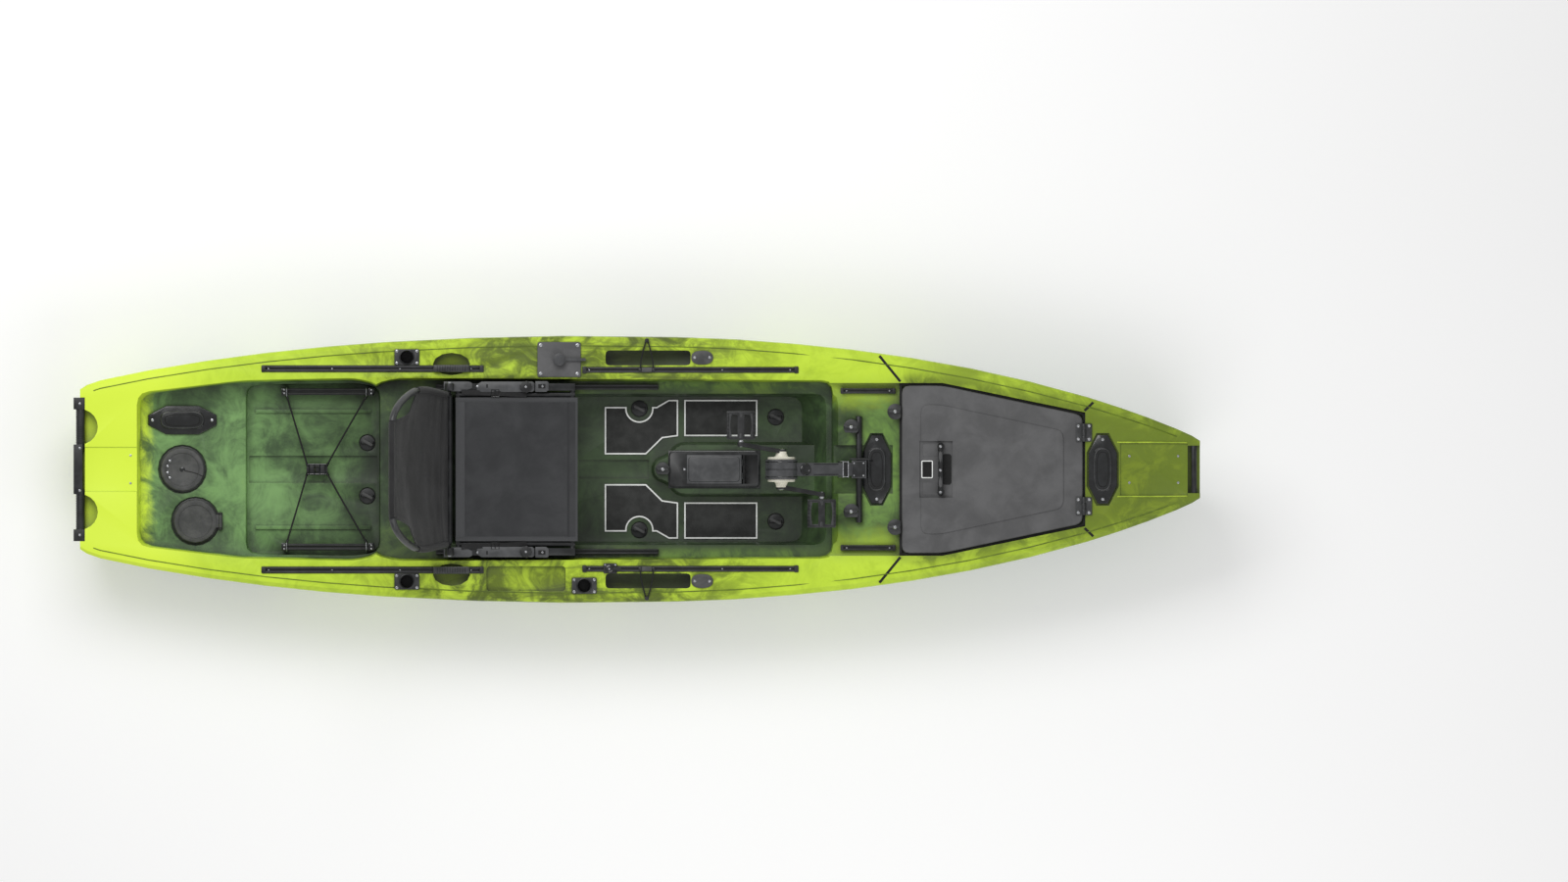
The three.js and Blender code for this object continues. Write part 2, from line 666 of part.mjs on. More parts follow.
function rod(radius, start, end, sides = SMALL_SIDES) {
  const from = new THREE.Vector3(...start);
  const along = new THREE.Vector3(...end).sub(from);
  const geometry = new THREE.CylinderGeometry(radius, radius, along.length(), sides);
  const upward = new THREE.Vector3(0, 1, 0);
  geometry.applyQuaternion(new THREE.Quaternion().setFromUnitVectors(upward, along.clone().normalize()));
  const middle = from.add(along.multiplyScalar(0.5));
  return solidOf(geometry.translate(middle.x, middle.y, middle.z));
}

function tube(radius, points, steps, sides = TUBE_SIDES) {
  const spots = points.map((point) => new THREE.Vector3(...point));
  const curve = new THREE.CatmullRomCurve3(spots, false, "centripetal");
  const shape = new THREE.Shape(disc(0, 0, radius, sides).map(([x, y]) => new THREE.Vector2(x, y)));
  return solidOf(new THREE.ExtrudeGeometry(shape, { steps, extrudePath: curve, curveSegments: 1 }));
}

// The sloping bow deck has its own frame, which starts where the sheer begins to rise
const deckFrame = new THREE.Matrix4()
  .makeTranslation(SHEER_BREAK_X, 0, GUNWALE_HEIGHT)
  .multiply(new THREE.Matrix4().makeRotationY(-Math.atan(sheerSlope)));
const onDeck = (solid) => solid.transform([...deckFrame.elements]);
const deckX = (x) => x - SHEER_BREAK_X;
const deckSpot = (x, y, lift) => new THREE.Vector3(deckX(x), y, lift).applyMatrix4(deckFrame);

// A well in the deck: the cut, and the plainer jacket that keeps the hull's wall round it
const lined = (shape) => ({ cut: shape(0), jacket: shape(HULL_WALL) });
const wellEdge = (outline, radius, extra) => (extra > 0 || radius === 0 ? outline : rounded(outline, radius));
const well = (outline, floor, rim, radius) => lined((extra) => {
  const ring = (z) => level(wellEdge(grow(outline, (z - rim) * WALL_DRAFT_SHARE + extra), radius, extra), z);
  return loft([ring(floor - extra), ring(rim + CUT_OVERRUN)]);
});
// A round well's jacket is a plainer polygon round its circle
const jacketDisc = (x, y, radius) => disc(x, y, radius / Math.cos(Math.PI / JACKET_SIDES), JACKET_SIDES);
const roundEdge = (x, y, radius, extra, sides = ROUND_SIDES) => (
  extra > 0 ? jacketDisc(x, y, radius + extra) : disc(x, y, radius, sides));

function hullBody(inset) {
  const rings = STATION_SHARES.map(([along, breadth, keel]) => {
    const x = sternX + inset + along * (HULL_LENGTH - 2 * inset);
    const low = keel * GUNWALE_HEIGHT + inset;
    const high = sheerHeight(x);
    const half = breadth * halfBeam - inset;
    const bow = THREE.MathUtils.smoothstep(along, BOW_SHAPE_START_SHARE, 1);
    const side = MIDDLE_SECTION_SHARES.map(([out, up], index) => {
      const [bowOut, bowUp] = BOW_SECTION_SHARES[index];
      const y = half * THREE.MathUtils.lerp(out, bowOut, bow);
      return new THREE.Vector3(x, y, THREE.MathUtils.lerp(low, high, THREE.MathUtils.lerp(up, bowUp, bow)));
    });
    return [...side, ...side.slice(1).reverse().map((point) => new THREE.Vector3(x, -point.y, point.z))];
  });
  return loft(rings);
}

const keelHeight = (x) => station(x, 2) * GUNWALE_HEIGHT;
const rudderPostTop = keelHeight(rudderX) + RUDDER_POST_SOCKET;

// Outlines that a hull recess shares with the piece that sits in it
const lidOutline = symmetric([
  [deckX(LID_BACK_X), lidBackHalfWidth],
  [deckX(lidShoulderX), lidBackHalfWidth],
  [deckX(lidFrontX), lidFrontHalfWidth],
]);
const portOutline = (() => {
  const flat = PORT_FLAT_LENGTH / 2;
  const half = PORT_WIDTH / 2;
  const tip = PORT_LENGTH / 2;
  const nose = PORT_TIP_RADIUS;
  return symmetric([[-tip, nose], [-flat, half], [flat, half], [tip, nose]]);
})();
const portWindow = (inset) => rounded(grow(rectangle(
  -PORT_WINDOW_LENGTH / 2, PORT_WINDOW_LENGTH / 2, -PORT_WINDOW_WIDTH / 2, PORT_WINDOW_WIDTH / 2,
), -inset), PORT_WINDOW_WIDTH / 2);
const turned = (outline) => outline.map(([x, y]) => [-y, x]);
const shifted = (outline, x, y) => outline.map((point) => [point[0] + x, point[1] + y]);
const forePortOutline = shifted(turned(portOutline), deckX(FORE_PORT_X), 0);
const bowPortOutline = shifted(turned(portOutline), deckX(bowPortX), 0);

function hull() {
  const wide = cockpitHalfWidth;
  const tankOutline = symmetric([
    [tankBackX, wide - TANK_BACK_INSET],
    [tankStepX, wide - TANK_FRONT_CHAMFER / 3],
    [TANK_FRONT_X - 2 * CORNER_RADIUS, wide],
    [TANK_FRONT_X, wide - TANK_FRONT_CHAMFER],
  ]);
  const tankDeepOutline = symmetric([
    [tankStepX, wide - TANK_FRONT_CHAMFER / 2],
    [TANK_FRONT_X - 2 * CORNER_RADIUS, wide - TANK_FRONT_CHAMFER / 4],
    [TANK_FRONT_X, wide - TANK_FRONT_CHAMFER],
  ]);
  const cockpitOutline = symmetric([
    [TANK_FRONT_X - CORNER_RADIUS, wide - TANK_FRONT_CHAMFER],
    [TANK_FRONT_X + CORNER_RADIUS, wide],
    [COCKPIT_FRONT_X, wide - TANK_FRONT_CHAMFER / 3],
  ]);
  const foredeckOutline = symmetric([
    [deckX(COCKPIT_FRONT_X - CUT_OVERRUN), lidBackHalfWidth + LID_GAP],
    [deckX(lidShoulderX), lidBackHalfWidth + LID_GAP],
    [deckX(lidFrontX) + LID_GAP, lidFrontHalfWidth + LID_GAP],
  ]);
  const plain = (outline, floor, high, radius = 0) => lined((extra) => (
    plate(wellEdge(grow(outline, extra), radius, extra), floor - extra, high)));
  const shallow = (outline, floor, high, radius = 0) => ({ cut: plain(outline, floor, high, radius).cut });
  const deckCut = ({ cut, jacket }) => ({ cut: onDeck(cut), jacket: jacket && onDeck(jacket) });
  const bothSides = (pair) => [pair, { cut: flipped(pair.cut), jacket: pair.jacket && flipped(pair.jacket) }];

  const footwell = lined((extra) => {
    const slope = FOOTWELL_SLOPE_RUN / (GUNWALE_HEIGHT - FOREDECK_DROP - FLOOR_HEIGHT);
    const ring = (z) => {
      const spread = (z - ledgeHeight) * WALL_DRAFT_SHARE + extra;
      const front = FOOTWELL_FRONT_X + (z - FLOOR_HEIGHT) * slope + extra;
      const half = footwellHalfWidth + spread;
      const edge = symmetric([[FOOTWELL_BACK_X - spread, half], [front, half]]);
      return level(wellEdge(edge, CORNER_RADIUS, extra), z);
    };
    return loft([ring(FLOOR_HEIGHT - extra), ring(GUNWALE_HEIGHT + CUT_OVERRUN)]);
  });
  const hatchRecess = (x, y) => lined((extra) => plate(
    roundEdge(x, y, HATCH_RECESS_RADIUS, extra), shelfHeight - HATCH_RECESS_DEPTH - extra, skyHeight));
  const plugWell = (x, y, floor) => lined((extra) => {
    const seat = roundEdge(x, y, PLUG_RADIUS + PLUG_RECESS_GAP, extra, SMALL_SIDES);
    const drain = roundEdge(x, y, PLUG_STEM_RADIUS + SEAT_GAP, extra, SMALL_SIDES);
    const cup = plate(seat, floor - PLUG_RECESS_DEPTH - extra, floor + CUT_OVERRUN);
    return cup.add(plate(drain, -CUT_OVERRUN, floor));
  });
  const groove = (x, length, y, width) => shallow(
    rectangle(x - SEAT_GAP, x + length + SEAT_GAP, y - width / 2 - SEAT_GAP, y + width / 2 + SEAT_GAP),
    GUNWALE_HEIGHT - TRACK_SINK - SEAT_GAP, skyHeight,
  );
  const scoop = lined((extra) => plate(
    roundEdge(0, 0, 1, 0, SMALL_SIDES).map(([x, y]) => [
      GRIP_X + x * (GRIP_SCOOP_LENGTH / 2 + extra),
      aftTrackY + GRIP_SCOOP_OFFSET + y * (GRIP_SCOOP_WIDTH / 2 + extra),
    ]), GUNWALE_HEIGHT - GRIP_SCOOP_DEPTH - extra, skyHeight,
  ));
  const fingerScoop = lined((extra) => plate(
    roundEdge(sternX, (STERN_GRIP_OUTER_Y + STERN_GRIP_INNER_Y) / 2, FINGER_SCOOP_RADIUS, extra),
    GUNWALE_HEIGHT - FINGER_SCOOP_DEPTH - extra, skyHeight,
  ));
  const pocket = plain(
    rectangle(POCKET_BACK_X, POCKET_BACK_X + POCKET_LENGTH, pocketInnerY, halfBeam - POCKET_RIM),
    GUNWALE_HEIGHT - POCKET_DEPTH, skyHeight, CORNER_RADIUS / 3,
  );
  const sideTray = shallow(
    rectangle(TRAY_RECESS_BACK_X, TRAY_RECESS_BACK_X + TRAY_RECESS_LENGTH,
      TRAY_RIM - halfBeam, -wide - TRAY_RECESS_INSET),
    GUNWALE_HEIGHT - TRAY_RECESS_DEPTH, skyHeight, CORNER_RADIUS / 3,
  );
  const portRecess = (outline, floor) => plain(grow(outline, PORT_RECESS_MARGIN), floor, CUT_OVERRUN);
  const legTunnel = lined((extra) => plate(
    rectangle(pocketX, slotFrontX + extra, -LEG_TUNNEL_HALF_WIDTH - extra, LEG_TUNNEL_HALF_WIDTH + extra),
    -CUT_OVERRUN, pocketHeight + extra,
  ));
  const propPocket = lined((extra) => plate(
    roundEdge(pocketX, 0, pocketRadius, extra, HOUSING_SIDES), -CUT_OVERRUN, pocketHeight + extra,
  ));
  const rudderSocket = lined((extra) => plate(
    roundEdge(rudderX, 0, RUDDER_POST_RADIUS + SEAT_GAP, extra, SMALL_SIDES),
    -CUT_OVERRUN, rudderPostTop + SEAT_GAP + extra,
  ));
  const bowRecess = plain(
    rectangle(deckX(bowX - BOW_RECESS_LENGTH), deckX(bowX + CUT_OVERRUN),
      -bowRecessHalfWidth, bowRecessHalfWidth),
    -BOW_RECESS_DEPTH, CUT_OVERRUN,
  );
  const bowPanelEdge = symmetric([
    [deckX(bowPanelX), BOW_PANEL_HALF_WIDTH],
    [deckX(bowX - BOW_RECESS_LENGTH), BOW_PANEL_HALF_WIDTH],
  ]);
  const bowPanel = { cut: loft([
    level(bowPanelEdge, -PANEL_DEPTH),
    level(grow(bowPanelEdge, CUT_OVERRUN * WALL_DRAFT_SHARE), CUT_OVERRUN - PANEL_DEPTH),
  ]) };
  const sternNotch = plain(
    rectangle(sternX - CUT_OVERRUN, sternX + STERN_HANDLE_DEPTH - STERN_HANDLE_OVERHANG + SEAT_GAP,
      -STERN_HANDLE_HALF_LENGTH - SEAT_GAP, STERN_HANDLE_HALF_LENGTH + SEAT_GAP),
    GUNWALE_HEIGHT - STERN_HANDLE_HEIGHT - SEAT_GAP, skyHeight,
  );
  const sternPanel = shallow(
    rectangle(sternX, tankBackX + CUT_OVERRUN, -STERN_PANEL_HALF_WIDTH, STERN_PANEL_HALF_WIDTH),
    GUNWALE_HEIGHT - PANEL_DEPTH, skyHeight,
  );
  const armChannel = plain(
    rectangle(deckX(ARM_CHANNEL_BACK_X), deckX(ARM_CHANNEL_FRONT_X),
      -ARM_CHANNEL_HALF_WIDTH, ARM_CHANNEL_HALF_WIDTH),
    -FOREDECK_DROP - ARM_CHANNEL_DEPTH, CUT_OVERRUN,
  );
  const legSlot = lined((extra) => plate(
    rectangle(slotBackX - extra, slotFrontX + extra, -SLOT_HALF_WIDTH - extra, SLOT_HALF_WIDTH + extra),
    -CUT_OVERRUN, skyHeight,
  ));
  const floorChannel = plain(
    rectangle(FLOOR_CHANNEL_BACK_X, FLOOR_CHANNEL_BACK_X + FLOOR_CHANNEL_LENGTH,
      -FLOOR_CHANNEL_HALF_WIDTH, FLOOR_CHANNEL_HALF_WIDTH),
    FLOOR_HEIGHT - CHANNEL_DEPTH, ledgeHeight,
  );
  const tankChannel = plain(
    rectangle(tankStepX + CORNER_RADIUS / 2, TANK_FRONT_X - CORNER_RADIUS / 2,
      -TANK_CHANNEL_HALF_WIDTH, TANK_CHANNEL_HALF_WIDTH),
    tankFloorHeight - CHANNEL_DEPTH, shelfHeight,
  );

  const wells = [
    well(tankOutline, shelfHeight, GUNWALE_HEIGHT, CORNER_RADIUS),
    well(tankDeepOutline, tankFloorHeight, GUNWALE_HEIGHT, CORNER_RADIUS),
    well(cockpitOutline, ledgeHeight, GUNWALE_HEIGHT, CORNER_RADIUS),
    deckCut(plain(foredeckOutline, -FOREDECK_DROP, CUT_OVERRUN)),
    deckCut(armChannel), deckCut(bowRecess), deckCut(bowPanel),
    deckCut(portRecess(forePortOutline, forePortLift)),
    deckCut(portRecess(bowPortOutline, -PORT_THICKNESS)),
    footwell, floorChannel, tankChannel, sternNotch, sternPanel, sideTray,
    hatchRecess(centreHatchX, 0), hatchRecess(sideHatchX, sideHatchY),
    legTunnel, propPocket, rudderSocket, legSlot,
    ...[...bothSides(pocket), ...bothSides(scoop), ...bothSides(fingerScoop)],
    ...bothSides(groove(AFT_TRACK_BACK_X, AFT_TRACK_LENGTH, aftTrackY, AFT_TRACK_WIDTH)),
    ...bothSides(groove(FORE_TRACK_BACK_X, FORE_TRACK_LENGTH, foreTrackY, FORE_TRACK_WIDTH)),
    ...plugSpots.map(([x, y, floor]) => plugWell(x, y, floor)),
  ];

  const spineOutline = symmetric([
    ...SPINE_NOSE_SHARES.map(([along, out]) => (
      [SPINE_BACK_X + along * SPINE_NOSE_LENGTH, out * SPINE_HALF_WIDTH])),
    [spineFrontX, SPINE_HALF_WIDTH],
  ]);
  const spine = (inset) => loft([
    level(rounded(grow(spineOutline, -inset), CORNER_RADIUS), FLOOR_HEIGHT - HULL_WALL - SEAT_GAP),
    level(rounded(grow(spineOutline, -inset - SPINE_DRAFT), CORNER_RADIUS), spineTop - inset),
  ]);
  const tray = plain(
    rectangle(TRAY_BACK_X - SEAT_GAP, TRAY_BACK_X + TRAY_LENGTH + SEAT_GAP,
      -TRAY_HALF_WIDTH - SEAT_GAP, TRAY_HALF_WIDTH + SEAT_GAP),
    spineTop - TRAY_DEPTH - SEAT_GAP, spineTop + CUT_OVERRUN,
  );
  const coamingEdge = (inset) => rounded(grow(lidOutline, -inset), LID_CORNER_RADIUS);
  const coaming = (inset, low, high) => plate(coamingEdge(inset), low, high);
  const coamingFoot = -FOREDECK_DROP - HULL_WALL / 2;
  const coamingRing = onDeck(coaming(COAMING_INSET, coamingFoot, lidLow - SEAT_GAP)
    .subtract(coaming(COAMING_INSET + COAMING_WIDTH, coamingFoot - SEAT_GAP, lidLow)));
  const ribs = [-1, 1].map((side) => box(
    tankStepX + CORNER_RADIUS, TANK_FRONT_X - CORNER_RADIUS,
    side * TANK_RIB_SPACING - RIB_WIDTH / 2, side * TANK_RIB_SPACING + RIB_WIDTH / 2,
    tankFloorHeight - HULL_WALL / 2, tankFloorHeight + RIB_HEIGHT,
  ));
  const tankTrackFeet = [-1, 1].flatMap((side) => [0, 1].map((end) => {
    const x = tankTrackX + end * (tankTrackLength - TANK_TRACK_WIDTH);
    const y = side * tankTrackY;
    return box(x, x + TANK_TRACK_WIDTH, y - TANK_TRACK_WIDTH / 2, y + TANK_TRACK_WIDTH / 2,
      tankFloorHeight - HULL_WALL / 2, tankFloorHeight + TANK_TRACK_LIFT - SEAT_GAP);
  }));

  const through = (outline, floor, walls = 2) => plate(outline, floor - walls * HULL_WALL, skyHeight);
  const openings = [
    through(disc(centreHatchX, 0, HATCH_OPENING_RADIUS), shelfHeight - HATCH_RECESS_DEPTH),
    through(disc(sideHatchX, sideHatchY, HATCH_OPENING_RADIUS), shelfHeight - HATCH_RECESS_DEPTH),
    through(shifted(portWindow(PORT_WINDOW_INSET), centreHatchX, sternPortY), shelfHeight),
    onDeck(plate(shifted(turned(portWindow(PORT_WINDOW_INSET)), deckX(FORE_PORT_X), 0),
      forePortLift - 2 * HULL_WALL, CUT_OVERRUN)),
    onDeck(plate(shifted(turned(portWindow(PORT_WINDOW_INSET)), deckX(bowPortX), 0),
      -PORT_THICKNESS - 3 * HULL_WALL, CUT_OVERRUN)),
    onDeck(coaming(COAMING_INSET + COAMING_WIDTH, -FOREDECK_DROP - 2 * HULL_WALL, CUT_OVERRUN)),
    ...rodSpots.map(([x, y]) => through(disc(x, y, rodTubeRadius + SEAT_GAP), GUNWALE_HEIGHT, 4)),
  ];

  const deck = without(hullBody(0), wells.map(({ cut }) => cut)).add(spine(0)).subtract(tray.cut);
  const jackets = [tray, legTunnel, propPocket, legSlot].map(({ jacket }) => jacket);
  const wellJackets = wells.map(({ jacket }) => jacket).filter(Boolean);
  const deckThickness = HULL_WALL * DECK_THICKNESS_SHARE;
  const bowEnd = bowX + CUT_OVERRUN;
  const sternEnd = sternX - CUT_OVERRUN;
  const deckSkin = slab([
    [sternEnd, GUNWALE_HEIGHT - deckThickness], [SHEER_BREAK_X, GUNWALE_HEIGHT - deckThickness],
    [bowEnd, sheerHeight(bowEnd) - deckThickness], [bowEnd, skyHeight], [sternEnd, skyHeight],
  ], -HULL_BEAM, HULL_BEAM);
  const linings = without(hullBody(HULL_WALL).subtract(deckSkin), wellJackets).add(spine(HULL_WALL));
  const rooms = without(linings, jackets).decompose();
  const room = rooms.reduce((widest, next) => (next.volume() > widest.volume() ? next : widest));
  return joined([without(deck.subtract(room), openings), coamingRing, ...ribs, ...tankTrackFeet]);
}

function meshOf(name, solid, colour, roughness, metalness) {
  const { vertProperties, triVerts } = solid.getMesh();
  const geometry = new THREE.BufferGeometry();
  geometry.setAttribute("position", new THREE.BufferAttribute(vertProperties, 3));
  geometry.setIndex(new THREE.BufferAttribute(triVerts, 1));
  const material = new THREE.MeshStandardMaterial({ color: colour, roughness, metalness });
  const mesh = new THREE.Mesh(geometry, material);
  mesh.name = name;
  return mesh;
}

const kayak = new THREE.Group();
function show(name, solid, colour, roughness = 0.5, metalness = 0) {
  kayak.add(meshOf(name, solid, colour, roughness, metalness));
}
const HULL_GREEN = "yellowgreen";
const BLACK_PLASTIC = "#1c1d1e";
const DARK_GREY = "#4a4b4d";
const METAL = "#8d8f92";
const CLOTH = "#232325";
const RUBBER = "#141414";

show("hull", hull(), HULL_GREEN);

// Bow hatch: the lid, its handle bar, and the leaves that turn about one pin on each side
const hingeX = deckX(lidFrontX) + LID_GAP / 2;
const hingeLift = HINGE_KNUCKLE_RADIUS + SEAT_GAP;
function bowHatchLid() {
  const outline = (inset) => rounded(grow(lidOutline, -inset), LID_CORNER_RADIUS);
  const base = loft([
    level(outline(0), lidLow),
    level(outline(0), lidHigh - LID_EDGE_ROUND),
    level(outline(LID_EDGE_ROUND), lidHigh),
  ]);
  const panel = loft([
    level(outline(LID_PANEL_INSET), lidHigh - LID_EDGE_ROUND),
    level(outline(LID_PANEL_INSET + LID_PANEL_HEIGHT), lidHigh + LID_PANEL_HEIGHT),
  ]);
  const pocketBack = deckX(LID_BACK_X + LID_POCKET_BACK_OFFSET);
  const pocket = plate(
    rectangle(pocketBack, pocketBack + LID_POCKET_LENGTH, -LID_POCKET_HALF_WIDTH, LID_POCKET_HALF_WIDTH),
    lidHigh - LID_POCKET_DEPTH, CUT_OVERRUN,
  );
  const x = deckX(LID_BACK_X + LID_HANDLE_OFFSET);
  const foot = lidHigh - LID_POCKET_DEPTH - LID_HANDLE_RADIUS / 4;
  const reach = LID_HANDLE_HALF_LENGTH - LID_HANDLE_RADIUS;
  const bend = LID_HANDLE_RISE / 2;
  const crest = lidHigh + LID_HANDLE_RISE;
  const bar = tube(LID_HANDLE_RADIUS, [
    [x, -reach, foot], [x, -reach, crest - bend], [x, bend - reach, crest], [x, 0, crest],
    [x, reach - bend, crest], [x, reach, crest - bend], [x, reach, foot],
  ], LID_HANDLE_STEPS);
  return onDeck(base.add(panel).subtract(pocket).add(bar));
}
show("bow_hatch_lid", bowHatchLid(), DARK_GREY, 0.75);

function hingeLeaf(y, onLid) {
  const side = onLid ? -1 : 1;
  const low = onLid ? lidHigh + SEAT_GAP : SEAT_GAP;
  const near = hingeX;
  const far = near + side * HINGE_LEAF_LENGTH;
  const third = HINGE_LEAF_WIDTH / 3;
  const half = HINGE_LEAF_WIDTH / 2;
  const leaf = box(near, far, y - half, y + half, low, low + HINGE_LEAF_THICKNESS);
  const knuckle = (from, to) => rod(HINGE_KNUCKLE_RADIUS, [hingeX, from, hingeLift], [hingeX, to, hingeLift]);
  const clearance = HINGE_KNUCKLE_RADIUS + SEAT_GAP;
  const space = (from, to) => box(hingeX - clearance, hingeX + clearance, from, to,
    hingeLift - clearance - SEAT_GAP, hingeLift + clearance);
  if (onLid) {
    const reach = third / 2 - SEAT_GAP;
    const gaps = [space(y - half - SEAT_GAP, y - reach), space(y + reach, y + half + SEAT_GAP)];
    const bore = rod(HINGE_PIN_RADIUS + SEAT_GAP, [hingeX, y - half, hingeLift], [hingeX, y + half, hingeLift]);
    return onDeck(without(leaf.add(knuckle(y - reach, y + reach)), [...gaps, bore]));
  }
  const gap = space(y - third / 2 - SEAT_GAP / 2, y + third / 2 + SEAT_GAP / 2);
  const pin = rod(HINGE_PIN_RADIUS, [hingeX, y - half, hingeLift], [hingeX, y + half, hingeLift]);
  return onDeck(leaf.add(knuckle(y - half, y + half)).subtract(gap).add(pin));
}
for (const [side, y] of [["port", hingeSpread], ["starboard", -hingeSpread]]) {
  show(`hinge_${side}_fixed_leaf`, hingeLeaf(y, false), BLACK_PLASTIC);
  show(`hinge_${side}_lid_leaf`, hingeLeaf(y, true), BLACK_PLASTIC);
}

// A turn latch: a disc with a flat that lets its neighbour past once it is turned
function turnLatch(x, y, foot, seat, radius, flatAhead = false) {
  const flat = radius * LATCH_FLAT_SHARE;
  const reach = radius + SEAT_GAP;
  const flatCut = flatAhead
    ? [x + flat, x + reach, y - reach, y + reach]
    : [x - reach, x + reach, y - reach, y - flat];
  const head = plate(disc(x, y, radius), seat, seat + LATCH_HEIGHT)
    .subtract(box(...flatCut, seat - SEAT_GAP, seat + 2 * LATCH_HEIGHT));
  const gripReach = flatAhead ? flat : radius;
  const grip = loft([
    level(rectangle(x - radius * GRIP_LENGTH_SHARE, x + gripReach * GRIP_LENGTH_SHARE,
      y - LATCH_GRIP_WIDTH / 2, y + LATCH_GRIP_WIDTH / 2), seat + LATCH_HEIGHT / 2),
    level(rectangle(x - radius * GRIP_TOP_SHARE, x + gripReach * GRIP_TOP_SHARE,
      y - LATCH_GRIP_WIDTH / 3, y + LATCH_GRIP_WIDTH / 3), seat + LATCH_HEIGHT + LATCH_GRIP_HEIGHT),
  ]);
  const stem = plate(disc(x, y, LATCH_STEM_RADIUS, SMALL_SIDES), foot, seat + LATCH_HEIGHT / 2);
  return joined([head, grip, stem]);
}
const deckFloor = -FOREDECK_DROP + SEAT_GAP;
const barLift = deckFloor + CROSSBAR_RADIUS;
const barTop = barLift + CROSSBAR_RADIUS + SEAT_GAP;
const barEnd = (sign) => [deckX(CROSSBAR_X), sign * CROSSBAR_HALF_LENGTH, barLift];
for (const [side, sign] of [["port", 1], ["starboard", -1]]) {
  show(`hatch_latch_${side}`, onDeck(turnLatch(
    deckX(HATCH_LATCH_X), sign * hatchLatchY, deckFloor, lidHigh + SEAT_GAP, LATCH_RADIUS, true,
  )), BLACK_PLASTIC);
  show(`drive_clamp_${side}`, onDeck(turnLatch(
    deckX(CLAMP_X), sign * CLAMP_Y, deckFloor, barTop, LATCH_RADIUS,
  )), BLACK_PLASTIC);
}
show("drive_crossbar", onDeck(rod(CROSSBAR_RADIUS, barEnd(-1), barEnd(1))), METAL, 0.4, 0.8);

// Console tray in the spine, its lid and its latch
function consoleTray() {
  const high = spineTop + SEAT_GAP;
  const low = spineTop - TRAY_DEPTH;
  const front = TRAY_BACK_X + TRAY_LENGTH;
  const bin = box(TRAY_BACK_X, front, -TRAY_HALF_WIDTH, TRAY_HALF_WIDTH, low, high);
  const room = box(TRAY_BACK_X + TRAY_WALL, front - TRAY_WALL,
    TRAY_WALL - TRAY_HALF_WIDTH, TRAY_HALF_WIDTH - TRAY_WALL, low + TRAY_WALL, high + CUT_OVERRUN);
  const lip = box(TRAY_BACK_X, front + TRAY_WALL, -TRAY_HALF_WIDTH - TRAY_WALL, TRAY_HALF_WIDTH + TRAY_WALL,
    high, high + TRAY_WALL);
  const ledge = box(TRAY_BACK_X + TRAY_WALL / 2, front - TRAY_WALL / 2,
    TRAY_WALL / 2 - TRAY_HALF_WIDTH, TRAY_HALF_WIDTH - TRAY_WALL / 2, high - TRAY_WALL, high + TRAY_WALL);
  const mouth = box(trayLidX - SEAT_GAP, trayLidX + TRAY_LID_LENGTH + TRAY_WALL * 2, -trayLidHalf - SEAT_GAP,
    trayLidHalf + SEAT_GAP, low + TRAY_WALL, high + CUT_OVERRUN);
  const frontRoom = box(trayLidX + TRAY_LID_LENGTH + TRAY_WALL * 3, front - TRAY_WALL * 2,
    -trayLidHalf, trayLidHalf, low + TRAY_WALL, high + CUT_OVERRUN);
  return joined([bin.subtract(room), lip.subtract(room), ledge]).subtract(mouth).subtract(frontRoom);
}
const trayLidX = TRAY_BACK_X + TRAY_LID_BACK_OFFSET;
const trayLidHalf = TRAY_HALF_WIDTH - TRAY_WALL * 4;
show("console_tray", consoleTray(), BLACK_PLASTIC);
show("console_lid", box(trayLidX, trayLidX + TRAY_LID_LENGTH, -trayLidHalf, trayLidHalf,
  spineTop + TRAY_WALL - TRAY_LID_THICKNESS + SEAT_GAP, spineTop + TRAY_WALL + SEAT_GAP), BLACK_PLASTIC);
show("tray_latch", turnLatch(
  TRAY_LATCH_X, 0, spineTop + SEAT_GAP, spineTop + TRAY_WALL + 2 * SEAT_GAP, TRAY_LATCH_RADIUS,
), BLACK_PLASTIC);

// Slotted tracks for accessories, and the plain rails that the seat slides on
function trackSection(y, width, low, high) {
  const half = width / 2;
  const lip = TRACK_SLOT / 2;
  const shelf = high - TRACK_SLOT_DEPTH / 2;
  const base = high - TRACK_SLOT_DEPTH;
  return [
    [y - half, low], [y + half, low], [y + half, high], [y + lip, high], [y + lip, shelf],
    [y + lip + TRACK_WALL, shelf], [y + lip + TRACK_WALL, base], [y - lip - TRACK_WALL, base],
    [y - lip - TRACK_WALL, shelf], [y - lip, shelf], [y - lip, high], [y - half, high],
  ];
}
const gunwaleTrackLow = GUNWALE_HEIGHT - TRACK_SINK;
const gunwaleTrackHigh = gunwaleTrackLow + TRACK_HEIGHT;
function gunwaleTrack(x, length, y, width) {
  return rail(trackSection(y, width, gunwaleTrackLow, gunwaleTrackHigh), x, x + length);
}
function grip(y) {
  const lip = gunwaleTrackHigh - SEAT_GAP;
  return slab([
    [GRIP_X - GRIP_HALF_LENGTH, gunwaleTrackLow + TRACK_SINK / 2],
    [GRIP_X + GRIP_HALF_LENGTH, gunwaleTrackLow + TRACK_SINK / 2],
    [GRIP_X + GRIP_HALF_LENGTH, lip],
    [GRIP_X + GRIP_HALF_LENGTH - TRACK_WALL, gunwaleTrackLow + GRIP_HEIGHT],
    [GRIP_X - GRIP_HALF_LENGTH + TRACK_WALL, gunwaleTrackLow + GRIP_HEIGHT],
    [GRIP_X - GRIP_HALF_LENGTH, lip],
  ], y - AFT_TRACK_WIDTH / 2, y + AFT_TRACK_WIDTH / 2);
}
